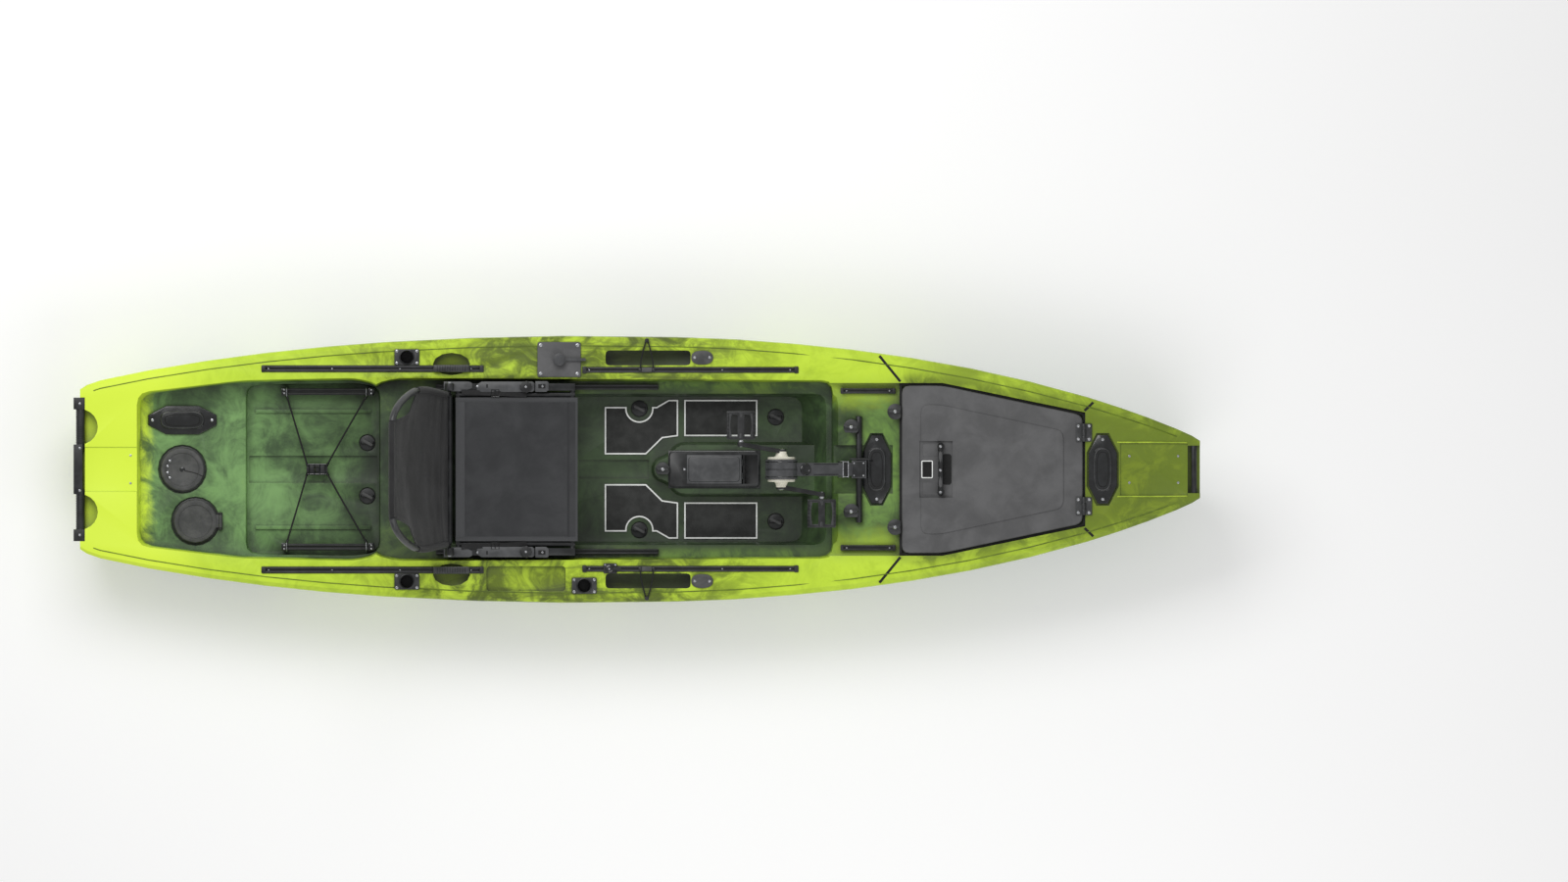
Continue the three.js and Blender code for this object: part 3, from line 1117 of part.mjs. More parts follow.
for (const [side, sign] of [["port", 1], ["starboard", -1]]) {
  const aftTrack = gunwaleTrack(AFT_TRACK_BACK_X, AFT_TRACK_LENGTH, sign * aftTrackY, AFT_TRACK_WIDTH);
  const foreTrack = gunwaleTrack(FORE_TRACK_BACK_X, FORE_TRACK_LENGTH, sign * foreTrackY, FORE_TRACK_WIDTH);
  show(`gunwale_track_aft_${side}`, aftTrack.add(grip(sign * aftTrackY)), BLACK_PLASTIC, 0.45);
  show(`gunwale_track_fore_${side}`, foreTrack, BLACK_PLASTIC, 0.45);
  show(`bow_track_${side}`, onDeck(rail(
    trackSection(sign * bowTrackY, BOW_TRACK_WIDTH, deckFloor, deckFloor + TRACK_HEIGHT),
    deckX(BOW_TRACK_BACK_X), deckX(BOW_TRACK_BACK_X + BOW_TRACK_LENGTH),
  )), BLACK_PLASTIC, 0.45);
  const tankLow = tankFloorHeight + TANK_TRACK_LIFT;
  show(`tankwell_track_${side}`, rail(
    trackSection(sign * tankTrackY, TANK_TRACK_WIDTH, tankLow, tankLow + TRACK_HEIGHT),
    tankTrackX, tankTrackX + tankTrackLength,
  ), BLACK_PLASTIC, 0.45);
  const railSection = trackSection(sign * railY, SEAT_RAIL_WIDTH, ledgeHeight + SEAT_GAP, railTop);
  show(`seat_rail_${side}`, rail(railSection, railBackX, SEAT_RAIL_FRONT_X), BLACK_PLASTIC, 0.45);
}

// Rod holders: a flange and a tube with a closed foot
function rodHolder(x, y) {
  const low = GUNWALE_HEIGHT - ROD_TUBE_DEPTH;
  const high = GUNWALE_HEIGHT + SEAT_GAP;
  const flange = plate(rounded(rectangle(
    x - ROD_FLANGE_LENGTH / 2, x + ROD_FLANGE_LENGTH / 2, y - ROD_FLANGE_WIDTH / 2, y + ROD_FLANGE_WIDTH / 2,
  ), ROD_FLANGE_THICKNESS), high, high + ROD_FLANGE_THICKNESS);
  const sleeve = plate(disc(x, y, rodTubeRadius, HUB_SIDES), low, high + ROD_FLANGE_THICKNESS / 2);
  const bore = plate(disc(x, y, ROD_HOLE_RADIUS, HUB_SIDES), low + ROD_TUBE_WALL, high + CUT_OVERRUN);
  return flange.add(sleeve).subtract(bore);
}
["aft_port", "aft_starboard", "middle_starboard"].forEach((place, index) => {
  show(`rod_holder_${place}`, rodHolder(...rodSpots[index]), BLACK_PLASTIC, 0.45);
});

// Steering: the plate on the port gunwale, its lever, and the rudder under the stern
const steeringY = cockpitHalfWidth + STEERING_OFFSET;
const steeringTop = GUNWALE_HEIGHT + SEAT_GAP + STEERING_PLATE_THICKNESS;
const pinHole = (gap) => plate(disc(STEERING_X, steeringY, STEERING_PIN_RADIUS + gap, SMALL_SIDES),
  GUNWALE_HEIGHT + 2 * SEAT_GAP - gap * 2, steeringTop + STEERING_KNOB_HEIGHT / 2);
const steeringPlate = plate(rounded(rectangle(
  STEERING_X - STEERING_PLATE_LENGTH / 2, STEERING_X + STEERING_PLATE_LENGTH / 2,
  steeringY - STEERING_PLATE_WIDTH / 2, steeringY + STEERING_PLATE_WIDTH / 2,
), STEERING_PLATE_THICKNESS), GUNWALE_HEIGHT + SEAT_GAP, steeringTop);
show("steering_plate", steeringPlate.subtract(pinHole(SEAT_GAP)), BLACK_PLASTIC, 0.45);
show("steering_lever", joined([
  plate(disc(STEERING_X, steeringY, STEERING_KNOB_RADIUS),
    steeringTop + SEAT_GAP, steeringTop + STEERING_KNOB_HEIGHT),
  box(STEERING_X, STEERING_X + STEERING_LEVER_LENGTH,
    steeringY - STEERING_LEVER_WIDTH / 2, steeringY + STEERING_LEVER_WIDTH / 2,
    steeringTop + SEAT_GAP * 2, steeringTop + STEERING_LEVER_WIDTH),
  pinHole(0),
]), BLACK_PLASTIC, 0.45);
function rudder() {
  const front = rudderX + RUDDER_LENGTH * RUDDER_FRONT_SHARE;
  const back = front - RUDDER_LENGTH;
  const low = RUDDER_FLOOR_CLEARANCE;
  const high = (x) => keelHeight(x) - RUDDER_TOP_CLEARANCE;
  const sweep = RUDDER_LENGTH * RUDDER_SWEEP_SHARE;
  const blade = slab([[back + sweep, low], [front - sweep, low], [front, high(front)], [back, high(back)]],
    -RUDDER_THICKNESS / 2, RUDDER_THICKNESS / 2);
  const postEdge = disc(rudderX, 0, RUDDER_POST_RADIUS, SMALL_SIDES);
  return blade.add(plate(postEdge, low + RUDDER_THICKNESS, rudderPostTop));
}
show("rudder", rudder(), BLACK_PLASTIC, 0.5);

// Foot pads
const padLow = FLOOR_HEIGHT + SEAT_GAP;
const forePad = rectangle(FORE_PAD_BACK_X, FORE_PAD_BACK_X + FORE_PAD_LENGTH, forePadInnerY, padEdgeY);
const rearPad = (() => {
  const front = REAR_PAD_BACK_X + REAR_PAD_LENGTH;
  const step = forePadInnerY - REAR_PAD_INNER_Y;
  const corner = REAR_PAD_SCALLOP_RADIUS / REAR_PAD_CORNER_PARTS;
  const reach = Math.sqrt(REAR_PAD_SCALLOP_RADIUS ** 2 - (rearPadOuterY - rearPlugY) ** 2);
  const start = Math.asin((rearPadOuterY - rearPlugY) / REAR_PAD_SCALLOP_RADIUS);
  const arc = Array.from({ length: SCALLOP_STEPS + 1 }, (_, index) => {
    const turn = start - (index / SCALLOP_STEPS) * (Math.PI + 2 * start);
    const spot = new THREE.Vector2(Math.cos(turn), Math.sin(turn)).multiplyScalar(REAR_PAD_SCALLOP_RADIUS);
    return [REAR_PLUG_X + spot.x, rearPlugY + spot.y];
  });
  return [
    [REAR_PAD_BACK_X, REAR_PAD_INNER_Y], [front - step * PAD_NOTCH_SHARES[0], REAR_PAD_INNER_Y],
    [front - step * PAD_NOTCH_SHARES[1], forePadInnerY - corner / 2],
    [front, forePadInnerY], [front, padEdgeY], [front - step / 2, padEdgeY],
    [REAR_PLUG_X + reach + corner, rearPadOuterY], ...arc, [REAR_PAD_BACK_X, rearPadOuterY],
  ];
})();
for (const [place, outline] of [["rear", rearPad], ["fore", forePad]]) {
  const pad = plate(outline, padLow, padLow + PAD_THICKNESS);
  show(`foot_pad_${place}_port`, pad, RUBBER, 0.9);
  show(`foot_pad_${place}_starboard`, flipped(pad), RUBBER, 0.9);
}

// Round hatches: a ring screwed in the recess and a lid with a short plug
const hatchFloor = shelfHeight - HATCH_RECESS_DEPTH + SEAT_GAP;
const hatchSeat = hatchFloor + HATCH_RING_HEIGHT + SEAT_GAP;
const hatchPinX = sideHatchX + SIDE_HATCH_HINGE_REACH;
const hatchFootTop = shelfHeight + SEAT_GAP + HATCH_FOOT;
const hatchPinHeight = hatchFootTop + SEAT_GAP + HATCH_KNUCKLE_RADIUS;
const hatchTabHalf = SIDE_HATCH_TAB_WIDTH / 2;
function hatchRing(x, y) {
  return plate(disc(x, y, HATCH_RING_RADIUS), hatchFloor, hatchSeat - SEAT_GAP)
    .subtract(plate(disc(x, y, HATCH_OPENING_RADIUS), hatchFloor - CUT_OVERRUN, hatchSeat + CUT_OVERRUN));
}
function hatchHingeSeat(y) {
  const back = sideHatchX + HATCH_LID_RADIUS + HATCH_FOOT / 2;
  const outer = hatchTabHalf + HATCH_EAR;
  const foot = box(back, hatchPinX + HATCH_EAR, y - outer, y + outer, shelfHeight + SEAT_GAP, hatchFootTop);
  const bridge = box(back, sideHatchX + HATCH_RING_RADIUS, y - hatchTabHalf / 2, y + hatchTabHalf / 2,
    hatchSeat - HATCH_RING_HEIGHT, hatchFootTop);
  const ears = [-1, 1].map((side) => slab(
    disc(hatchPinX, hatchPinHeight, HATCH_KNUCKLE_RADIUS, SMALL_SIDES)
      .map(([x, z]) => [x, z < hatchPinHeight ? hatchFootTop - SEAT_GAP : z]),
    y + side * (hatchTabHalf + SEAT_GAP), y + side * outer,
  ));
  const pin = rod(HINGE_PIN_RADIUS, [hatchPinX, y - outer + SEAT_GAP, hatchPinHeight],
    [hatchPinX, y + outer - SEAT_GAP, hatchPinHeight]);
  return joined([foot, bridge, ...ears, pin]);
}
function hatchLid(x, y) {
  const high = hatchSeat + HATCH_LID_HEIGHT;
  const head = loft([
    level(disc(x, y, HATCH_LID_RADIUS), hatchSeat),
    level(disc(x, y, HATCH_LID_RADIUS), high - HATCH_RIB_HEIGHT),
    level(disc(x, y, HATCH_LID_RADIUS - HATCH_RIB_HEIGHT), high),
  ]);
  const dish = plate(disc(x, y, HATCH_OPENING_RADIUS), high - HATCH_RIB_HEIGHT, high + HATCH_RIB_HEIGHT);
  const plugEdge = disc(x, y, HATCH_OPENING_RADIUS - HATCH_PLUG_DEPTH);
  return head.subtract(dish).add(plate(plugEdge, hatchSeat - HATCH_PLUG_DEPTH, hatchSeat + SEAT_GAP));
}
function hatchTab(y) {
  const half = hatchTabHalf - SEAT_GAP;
  const tab = box(sideHatchX + HATCH_LID_RADIUS - HATCH_EAR, hatchPinX, y - half, y + half,
    hatchFootTop + SEAT_GAP, hatchSeat + HATCH_LID_HEIGHT - HATCH_RIB_HEIGHT / 2);
  return tab.add(rod(HATCH_KNUCKLE_RADIUS,
    [hatchPinX, y - half, hatchPinHeight], [hatchPinX, y + half, hatchPinHeight]));
}
const hatchBore = rod(HINGE_PIN_RADIUS + SEAT_GAP, [hatchPinX, sideHatchY - HATCH_LID_RADIUS, hatchPinHeight],
  [hatchPinX, sideHatchY + HATCH_LID_RADIUS, hatchPinHeight]);
const sideLid = hatchLid(sideHatchX, sideHatchY).add(hatchTab(sideHatchY));
show("hatch_ring_center", hatchRing(centreHatchX, 0), BLACK_PLASTIC);
show("hatch_lid_center", hatchLid(centreHatchX, 0), DARK_GREY);
show("hatch_ring_side", hatchRing(sideHatchX, sideHatchY).add(hatchHingeSeat(sideHatchY)), BLACK_PLASTIC);
show("hatch_lid_side", sideLid.subtract(hatchBore), BLACK_PLASTIC);

// Screwed access ports: a plate with a raised, rounded cover
function accessPort(outline, window, low) {
  return plate(outline, low + SEAT_GAP, low + PORT_THICKNESS)
    .add(plate(window, low + PORT_THICKNESS / 2, low + PORT_THICKNESS + PORT_RIM_HEIGHT));
}
const windowHere = portWindow(0);
show("access_port_aft", accessPort(
  shifted(portOutline, centreHatchX, sternPortY), shifted(windowHere, centreHatchX, sternPortY), shelfHeight,
), BLACK_PLASTIC);
show("access_port_fore", onDeck(accessPort(
  forePortOutline, shifted(turned(windowHere), deckX(FORE_PORT_X), 0), forePortLift)), BLACK_PLASTIC);
show("access_port_bow", onDeck(accessPort(
  bowPortOutline, shifted(turned(windowHere), deckX(bowPortX), 0), -PORT_THICKNESS)), BLACK_PLASTIC);

// Scupper plugs, each with a stem in its drain hole and a bar to turn it by
function scupperPlug(x, y, floor) {
  const low = floor - PLUG_RECESS_DEPTH + SEAT_GAP;
  const high = low + PLUG_HEIGHT;
  const reach = PLUG_RADIUS * GRIP_LENGTH_SHARE;
  const bar = (length, width, z) => level(rectangle(x - length, x + length, y - width, y + width), z);
  const foot = bar(reach, PLUG_GRIP_WIDTH / 2, low + PLUG_HEIGHT / 2);
  const crest = bar(reach * GRIP_TOP_SHARE, PLUG_GRIP_WIDTH / 3, high + PLUG_GRIP_HEIGHT);
  return joined([
    plate(disc(x, y, PLUG_RADIUS, HUB_SIDES), low, high),
    plate(disc(x, y, PLUG_STEM_RADIUS, SMALL_SIDES), low - PLUG_STEM_LENGTH, low + PLUG_HEIGHT / 2),
    loft([foot, crest]),
  ]);
}
const plugNames = ["tank_port", "tank_starboard", "rear_port", "rear_starboard", "fore_port", "fore_starboard"];
plugNames.forEach((place, index) => {
  show(`scupper_plug_${place}`, scupperPlug(...plugSpots[index]), BLACK_PLASTIC);
});

// Carrying handles at the bow and the stern
function bowHandle() {
  const x = deckX(bowX - BOW_HANDLE_SETBACK);
  const low = -BOW_RECESS_DEPTH + SEAT_GAP;
  const lift = -HANDLE_BAR_RADIUS;
  const reach = BOW_HANDLE_HALF_LENGTH;
  const feet = [-1, 1].map((side) => box(
    x - HANDLE_BAR_RADIUS, x + HANDLE_BAR_RADIUS, side * reach, side * (reach - 2 * HANDLE_BAR_RADIUS),
    low, lift + HANDLE_BAR_RADIUS / 2,
  ));
  return joined([rod(HANDLE_BAR_RADIUS, [x, SEAT_GAP - reach, lift], [x, reach - SEAT_GAP, lift]), ...feet]);
}
show("bow_handle", onDeck(bowHandle()), BLACK_PLASTIC);
function sternHandle() {
  const back = sternX - STERN_HANDLE_OVERHANG;
  const front = back + STERN_HANDLE_DEPTH;
  const low = GUNWALE_HEIGHT - STERN_HANDLE_HEIGHT;
  const high = GUNWALE_HEIGHT;
  const gripRadius = STERN_HANDLE_HEIGHT / 2;
  const middle = box(back, front - gripRadius / 2, -STERN_GRIP_INNER_Y, STERN_GRIP_INNER_Y, low, high);
  const sides = [-1, 1].flatMap((side) => [
    rod(gripRadius, [front - gripRadius, side * (STERN_GRIP_INNER_Y - gripRadius), low + gripRadius],
      [front - gripRadius, side * STERN_GRIP_OUTER_Y, low + gripRadius]),
    box(back, front, side * STERN_HANDLE_HALF_LENGTH, side * (STERN_HANDLE_HALF_LENGTH - STERN_BRACKET_WIDTH),
      low, high),
  ]);
  return joined([middle, ...sides]);
}
show("stern_handle", sternHandle(), BLACK_PLASTIC);

// Tank well bungee: two crossed cords with a clip where they meet
function bungee() {
  const high = tankFloorHeight + TANK_TRACK_LIFT + TRACK_HEIGHT / 2;
  const edge = tankTrackY - TANK_TRACK_WIDTH / 2 - BUNGEE_RADIUS + 3 * SEAT_GAP;
  const clipX = tankTrackX + tankTrackLength * BUNGEE_CLIP_SHARE;
  const clipHigh = high - BUNGEE_DROP + BUNGEE_CLIP_HEIGHT / 2;
  const strands = [-1, 1].flatMap((side) => [
    [tankTrackX + BUNGEE_BACK_OFFSET, -1],
    [tankTrackX + tankTrackLength - BUNGEE_FRONT_OFFSET, 1],
  ].map(([x, end]) => {
    const near = clipX + end * (BUNGEE_CLIP_HALF_LENGTH - BUNGEE_RADIUS * 2);
    const far = high - BUNGEE_DROP;
    const halfway = side * (edge + BUNGEE_CLIP_HALF_WIDTH) / 2;
    const line = [
      [x, side * edge, high],
      [(x + near) / 2, halfway, (high + far) / 2 - BUNGEE_RADIUS],
      [near, side * BUNGEE_CLIP_HALF_WIDTH / 2, far],
    ];
    return tube(BUNGEE_RADIUS, line, CORD_STEPS, CORD_SIDES);
  }));
  const clip = plate(rounded(rectangle(
    clipX - BUNGEE_CLIP_HALF_LENGTH, clipX + BUNGEE_CLIP_HALF_LENGTH,
    -BUNGEE_CLIP_HALF_WIDTH, BUNGEE_CLIP_HALF_WIDTH,
  ), BUNGEE_CLIP_HALF_WIDTH / 2), clipHigh - BUNGEE_CLIP_HEIGHT, clipHigh);
  return joined([clip, ...strands]);
}
show("tankwell_bungee", bungee(), RUBBER, 0.8);

// Seat: brackets that run on the rails, a tube frame, and a back frame that folds forward
const seatBackX = SEAT_FRONT_X - SEAT_LENGTH;
const seatTubeHeight = SEAT_HEIGHT - SEAT_CLOTH - SEAT_TUBE_DROP - SEAT_TUBE_RADIUS;
function seatBaseFrame() {
  const low = railTop + SEAT_GAP;
  const high = SEAT_HEIGHT;
  const back = BACK_PIVOT_X - SEAT_EAR_RADIUS;
  const front = SEAT_FRONT_X - SEAT_TUBE_RADIUS;
  const inner = railY - SEAT_BRACKET_THICKNESS / 2;
  const outer = railY + SEAT_BRACKET_THICKNESS / 2;
  const span = front - back;
  const windows = SEAT_WINDOW_SHARES.map(([from, to]) => [
    [back + from * span, low + SEAT_BAR],
    [back + to * span, low + SEAT_BAR],
    [back + (to - SEAT_WINDOW_LEAN_SHARE) * span, high - SEAT_BAR],
    [back + (from + SEAT_WINDOW_LEAN_SHARE) * span, high - SEAT_BAR],
  ]);
  const side = (sign) => {
    const [y0, y1] = [sign * inner, sign * outer].sort((near, far) => near - far);
    const bracketEdge = [
      [back, low], [front - SEAT_BAR, low], [front, high - SEAT_BAR], [front, high], [back, high],
    ];
    const bracket = slab(bracketEdge, y0, y1);
    const ear = slab(disc(BACK_PIVOT_X, BACK_PIVOT_HEIGHT, SEAT_EAR_RADIUS, SMALL_SIDES)
      .map(([x, z]) => [x, z < BACK_PIVOT_HEIGHT ? high - SEAT_GAP : z]), y0, y1);
    const knobEdge = disc(SEAT_KNOB_X, sign * railY, SEAT_KNOB_RADIUS, SMALL_SIDES);
    const knob = plate(knobEdge, high - SEAT_GAP, high + SEAT_KNOB_HEIGHT);
    const holes = windows.map((window) => slab(window, y0 - SEAT_GAP, y1 + SEAT_GAP));
    const tubeY = sign * (seatHalfWidth + SEAT_TUBE_RADIUS + SEAT_GAP);
    const tubeEnds = [seatBackX, front].map((x) => [x, tubeY, seatTubeHeight]);
    const sideTube = rod(SEAT_TUBE_RADIUS, ...tubeEnds);
    return joined([without(bracket, holes), ear, knob, sideTube]);
  };
  const crossTubes = [seatBackX + SEAT_TUBE_RADIUS, SEAT_FRONT_X - 2 * SEAT_TUBE_RADIUS].map((x) => (
    rod(SEAT_TUBE_RADIUS, [x, -inner - SEAT_GAP, seatTubeHeight], [x, inner + SEAT_GAP, seatTubeHeight])));
  const bore = rod(BACK_PIN_RADIUS + SEAT_GAP, [BACK_PIVOT_X, -outer - SEAT_GAP, BACK_PIVOT_HEIGHT],
    [BACK_PIVOT_X, outer + SEAT_GAP, BACK_PIVOT_HEIGHT]);
  return joined([side(1), side(-1), ...crossTubes]).subtract(bore);
}
show("seat_base_frame", seatBaseFrame(), BLACK_PLASTIC, 0.45);

// A sheet of cloth with thickness: place(u, v, side) gives a point, and side is 0 below and 1 above
function cloth(columns, rows, place) {
  const positions = [];
  const faces = [];
  const wide = columns + 1;
  for (const side of [0, 1]) {
    for (let row = 0; row <= rows; row += 1) {
      for (let column = 0; column <= columns; column += 1) {
        positions.push(...place(column / columns, row / rows, side));
      }
    }
  }
  const layer = wide * (rows + 1);
  const quad = (a, b, c, d) => faces.push(a, b, c, a, c, d);
  for (let row = 0; row < rows; row += 1) {
    for (let column = 0; column < columns; column += 1) {
      const at = row * wide + column;
      quad(layer + at, layer + at + 1, layer + at + wide + 1, layer + at + wide);
      quad(at, at + wide, at + wide + 1, at + 1);
    }
  }
  const rim = [];
  for (let column = 0; column < columns; column += 1) {
    rim.push(column);
  }
  for (let row = 0; row < rows; row += 1) {
    rim.push(row * wide + columns);
  }
  for (let column = columns; column > 0; column -= 1) {
    rim.push(rows * wide + column);
  }
  for (let row = rows; row > 0; row -= 1) {
    rim.push(row * wide);
  }
  rim.forEach((from, index) => {
    const to = rim[(index + 1) % rim.length];
    quad(from, to, to + layer, from + layer);
  });
  const geometry = new THREE.BufferGeometry();
  geometry.setAttribute("position", new THREE.Float32BufferAttribute(positions, 3));
  geometry.setIndex(faces);
  return solidOf(geometry);
}
const hump = (share) => Math.sin(Math.PI * share);
show("seat_fabric", cloth(SEAT_CLOTH_COLUMNS, SEAT_CLOTH_ROWS, (u, v, side) => {
  const x = seatBackX + u * SEAT_LENGTH;
  const y = (2 * v - 1) * seatHalfWidth;
  const sag = SEAT_SAG * hump(u) ** SAG_POWER_SHARE * Math.sqrt(hump(v));
  const edge = side === 1 ? 0 : SEAT_CLOTH;
  return [x, y, SEAT_HEIGHT - sag - edge];
}), CLOTH, 0.9);

const backSpot = (share, y, behind = 0) => {
  const tilt = new THREE.Vector2(-BACK_LEAN, BACK_HEIGHT).normalize();
  return [
    BACK_PIVOT_X - BACK_LEAN * share - tilt.y * behind,
    y,
    BACK_PIVOT_HEIGHT + BACK_HEIGHT * share + tilt.x * behind,
  ];
};
function backrestFrame() {
  const halfLoop = BACK_TUBE_SHARES.map(([up, out]) => [up, out * backHalfWidth]);
  const loop = [
    ...halfLoop.map(([up, y]) => backSpot(up, -y)),
    ...halfLoop.slice().reverse().map(([up, y]) => backSpot(up, y)),
  ];
  const bottomY = halfLoop[0][1];
  const pinReach = railY + SEAT_BRACKET_THICKNESS / 2 - SEAT_GAP;
  return joined([
    tube(SEAT_TUBE_RADIUS, loop, BACK_TUBE_STEPS),
    rod(SEAT_TUBE_RADIUS, backSpot(0, -bottomY), backSpot(0, bottomY), TUBE_SIDES),
    rod(BACK_PIN_RADIUS, backSpot(0, -pinReach), backSpot(0, pinReach)),
  ]);
}
show("backrest_frame", backrestFrame(), BLACK_PLASTIC, 0.45);
show("backrest_fabric", cloth(BACK_CLOTH_COLUMNS, BACK_CLOTH_SHARES.length - 1, (u, v, side) => {
  const [up, out] = BACK_CLOTH_SHARES[Math.round(v * (BACK_CLOTH_SHARES.length - 1))];
  const half = out * (backHalfWidth - SEAT_TUBE_RADIUS - SEAT_GAP);
  const sag = BACK_SAG * hump(u) * hump(v);
  return backSpot(up, (1 - 2 * u) * half, sag - SEAT_CLOTH / 2 + (side === 1 ? SEAT_CLOTH : 0));
}), CLOTH, 0.9);

// Pedal drive: the head and its arm, the folding leg, the cranks, pedals and propeller
const barSpot = deckSpot(CROSSBAR_X, 0, barLift);
const knucklePin = (radius, reach) => (
  rod(radius, [LEG_X, -reach, KNUCKLE_HEIGHT], [LEG_X, reach, KNUCKLE_HEIGHT]));
function driveHead() {
  const axis = (y) => [CRANK_X, y, CRANK_HEIGHT];
  const half = DRIVE_HOUSING_HALF_WIDTH;
  const collar = half + DRIVE_COLLAR_WIDTH;
  const housing = rod(DRIVE_HOUSING_RADIUS, axis(-half), axis(half), HOUSING_SIDES);
  const collars = rod(DRIVE_COLLAR_RADIUS, axis(-collar), axis(collar), ROUND_SIDES);
  const armBack = CRANK_X + DRIVE_HOUSING_RADIUS / 2;
  const armFront = barSpot.x - SADDLE_HALF_LENGTH + SEAT_GAP;
  const rise = DRIVE_ARM_HEIGHT / 2;
  const arm = slab([
    [armBack, CRANK_HEIGHT - DRIVE_HOUSING_RADIUS * HOUSING_ARM_SHARE], [armFront, barSpot.z - rise / 2],
    [armFront, barSpot.z + rise / 2], [armBack, CRANK_HEIGHT + rise],
  ], -DRIVE_ARM_HALF_WIDTH, DRIVE_ARM_HALF_WIDTH);
  const saddle = box(
    barSpot.x - SADDLE_HALF_LENGTH, barSpot.x + SADDLE_HALF_LENGTH, -SADDLE_HALF_WIDTH, SADDLE_HALF_WIDTH,
    barSpot.z - CROSSBAR_RADIUS - SADDLE_WALL / 2, barSpot.z + CROSSBAR_RADIUS + SADDLE_WALL,
  );
  const legEdge = LEG_SECTION_SHARES.map(([along, out]) => [LEG_X + along * LEG_CHORD, out * LEG_HALF_WIDTH]);
  const cheekTop = KNUCKLE_HEIGHT + KNUCKLE_RADIUS + KNUCKLE_GAP;
  const leg = plate(symmetric(legEdge), cheekTop, barSpot.z);
  const cheekOutline = [
    ...disc(LEG_X, KNUCKLE_HEIGHT, KNUCKLE_RADIUS, SMALL_SIDES)
      .map(([x, z]) => [x, z > KNUCKLE_HEIGHT ? cheekTop + SEAT_GAP : z]),
  ];
  const cheekInner = LEG_HALF_WIDTH - KNUCKLE_CHEEK;
  const cheeks = [-1, 1].map((side) => slab(cheekOutline, side * cheekInner, side * LEG_HALF_WIDTH));
  const pin = knucklePin(KNUCKLE_PIN_RADIUS, LEG_HALF_WIDTH);
  const bore = rod(CRANK_AXLE_RADIUS + SEAT_GAP, axis(-collar - CUT_OVERRUN), axis(collar + CUT_OVERRUN));
  const barHole = rod(CROSSBAR_RADIUS + SEAT_GAP, [barSpot.x, -CROSSBAR_HALF_LENGTH, barSpot.z],
    [barSpot.x, CROSSBAR_HALF_LENGTH, barSpot.z]);
  return joined([housing, collars, arm, saddle, leg, ...cheeks, pin]).subtract(bore).subtract(barHole);
}
show("drive_head", driveHead(), BLACK_PLASTIC, 0.4);

const tipAngle = THREE.MathUtils.degToRad(CRANK_REST_DEGREES);
const crankTip = (side) => [
  CRANK_X - side * CRANK_LENGTH * Math.cos(tipAngle),
  CRANK_HEIGHT + side * CRANK_LENGTH * Math.sin(tipAngle),
];
const crankTipY = CRANK_HUB_REACH + CRANK_ARM_OFFSET;
const pedalInnerY = crankTipY + PEDAL_CLEARANCE;
function crankSet() {
  const axis = (y) => [CRANK_X, y, CRANK_HEIGHT];
  const arms = [-1, 1].flatMap((side) => {
    const [tipX, tipZ] = crankTip(side);
    const along = new THREE.Vector2(tipX - CRANK_X, tipZ - CRANK_HEIGHT).normalize();
    const ring = (x, z, half, y) => [[-1, 0], [1, 0], [1, 1], [-1, 1]].map(([out, deep]) => new THREE.Vector3(
      x - along.y * out * half, side * (y + deep * CRANK_ARM_THICKNESS), z + along.x * out * half));
    const hubInner = DRIVE_HOUSING_HALF_WIDTH + DRIVE_COLLAR_WIDTH + SEAT_GAP * 3;
    const tipInner = crankTipY - CRANK_ARM_THICKNESS;
    const tip = (y) => [tipX, side * y, tipZ];
    return [
      loft([
        ring(CRANK_X, CRANK_HEIGHT, CRANK_HUB_RADIUS * CRANK_ARM_SHARE, CRANK_HUB_REACH - CRANK_ARM_THICKNESS),
        ring(tipX, tipZ, CRANK_TIP_RADIUS * CRANK_ARM_SHARE, tipInner),
      ]),
      rod(CRANK_HUB_RADIUS, axis(side * hubInner), axis(side * CRANK_HUB_REACH)),
      rod(CRANK_TIP_RADIUS, tip(tipInner), tip(crankTipY)),
      rod(PEDAL_SPINDLE_RADIUS, tip(crankTipY - SEAT_GAP), tip(pedalInnerY + PEDAL_WIDTH - PEDAL_RAIL)),
    ];
  });
  return joined([rod(CRANK_AXLE_RADIUS, axis(-CRANK_HUB_REACH), axis(CRANK_HUB_REACH)), ...arms]);
}
show("crank_set", crankSet(), METAL, 0.35, 0.7);
function pedal(side) {
  const [x, z] = crankTip(side);
  const y0 = Math.min(side * pedalInnerY, side * (pedalInnerY + PEDAL_WIDTH));
  const y1 = y0 + PEDAL_WIDTH;
  const half = PEDAL_LENGTH / 2;
  const thick = PEDAL_THICKNESS / 2;
  const frame = plate(rounded(rectangle(x - half, x + half, y0, y1), PEDAL_RAIL), z - thick, z + thick);
  const windows = [-1, 1].map((end) => box(
    x + end * (PEDAL_SLEEVE_RADIUS + SEAT_GAP), x + end * (half - PEDAL_RAIL),
    y0 + PEDAL_RAIL, y1 - PEDAL_RAIL, z - PEDAL_THICKNESS, z + PEDAL_THICKNESS,
  ));
  const bore = rod(PEDAL_SPINDLE_RADIUS + SEAT_GAP, [x, y0 - CUT_OVERRUN, z], [x, y1 + CUT_OVERRUN, z]);
  return without(frame, windows).subtract(bore);
}
show("pedal_port", pedal(1), BLACK_PLASTIC);
show("pedal_starboard", pedal(-1), BLACK_PLASTIC);

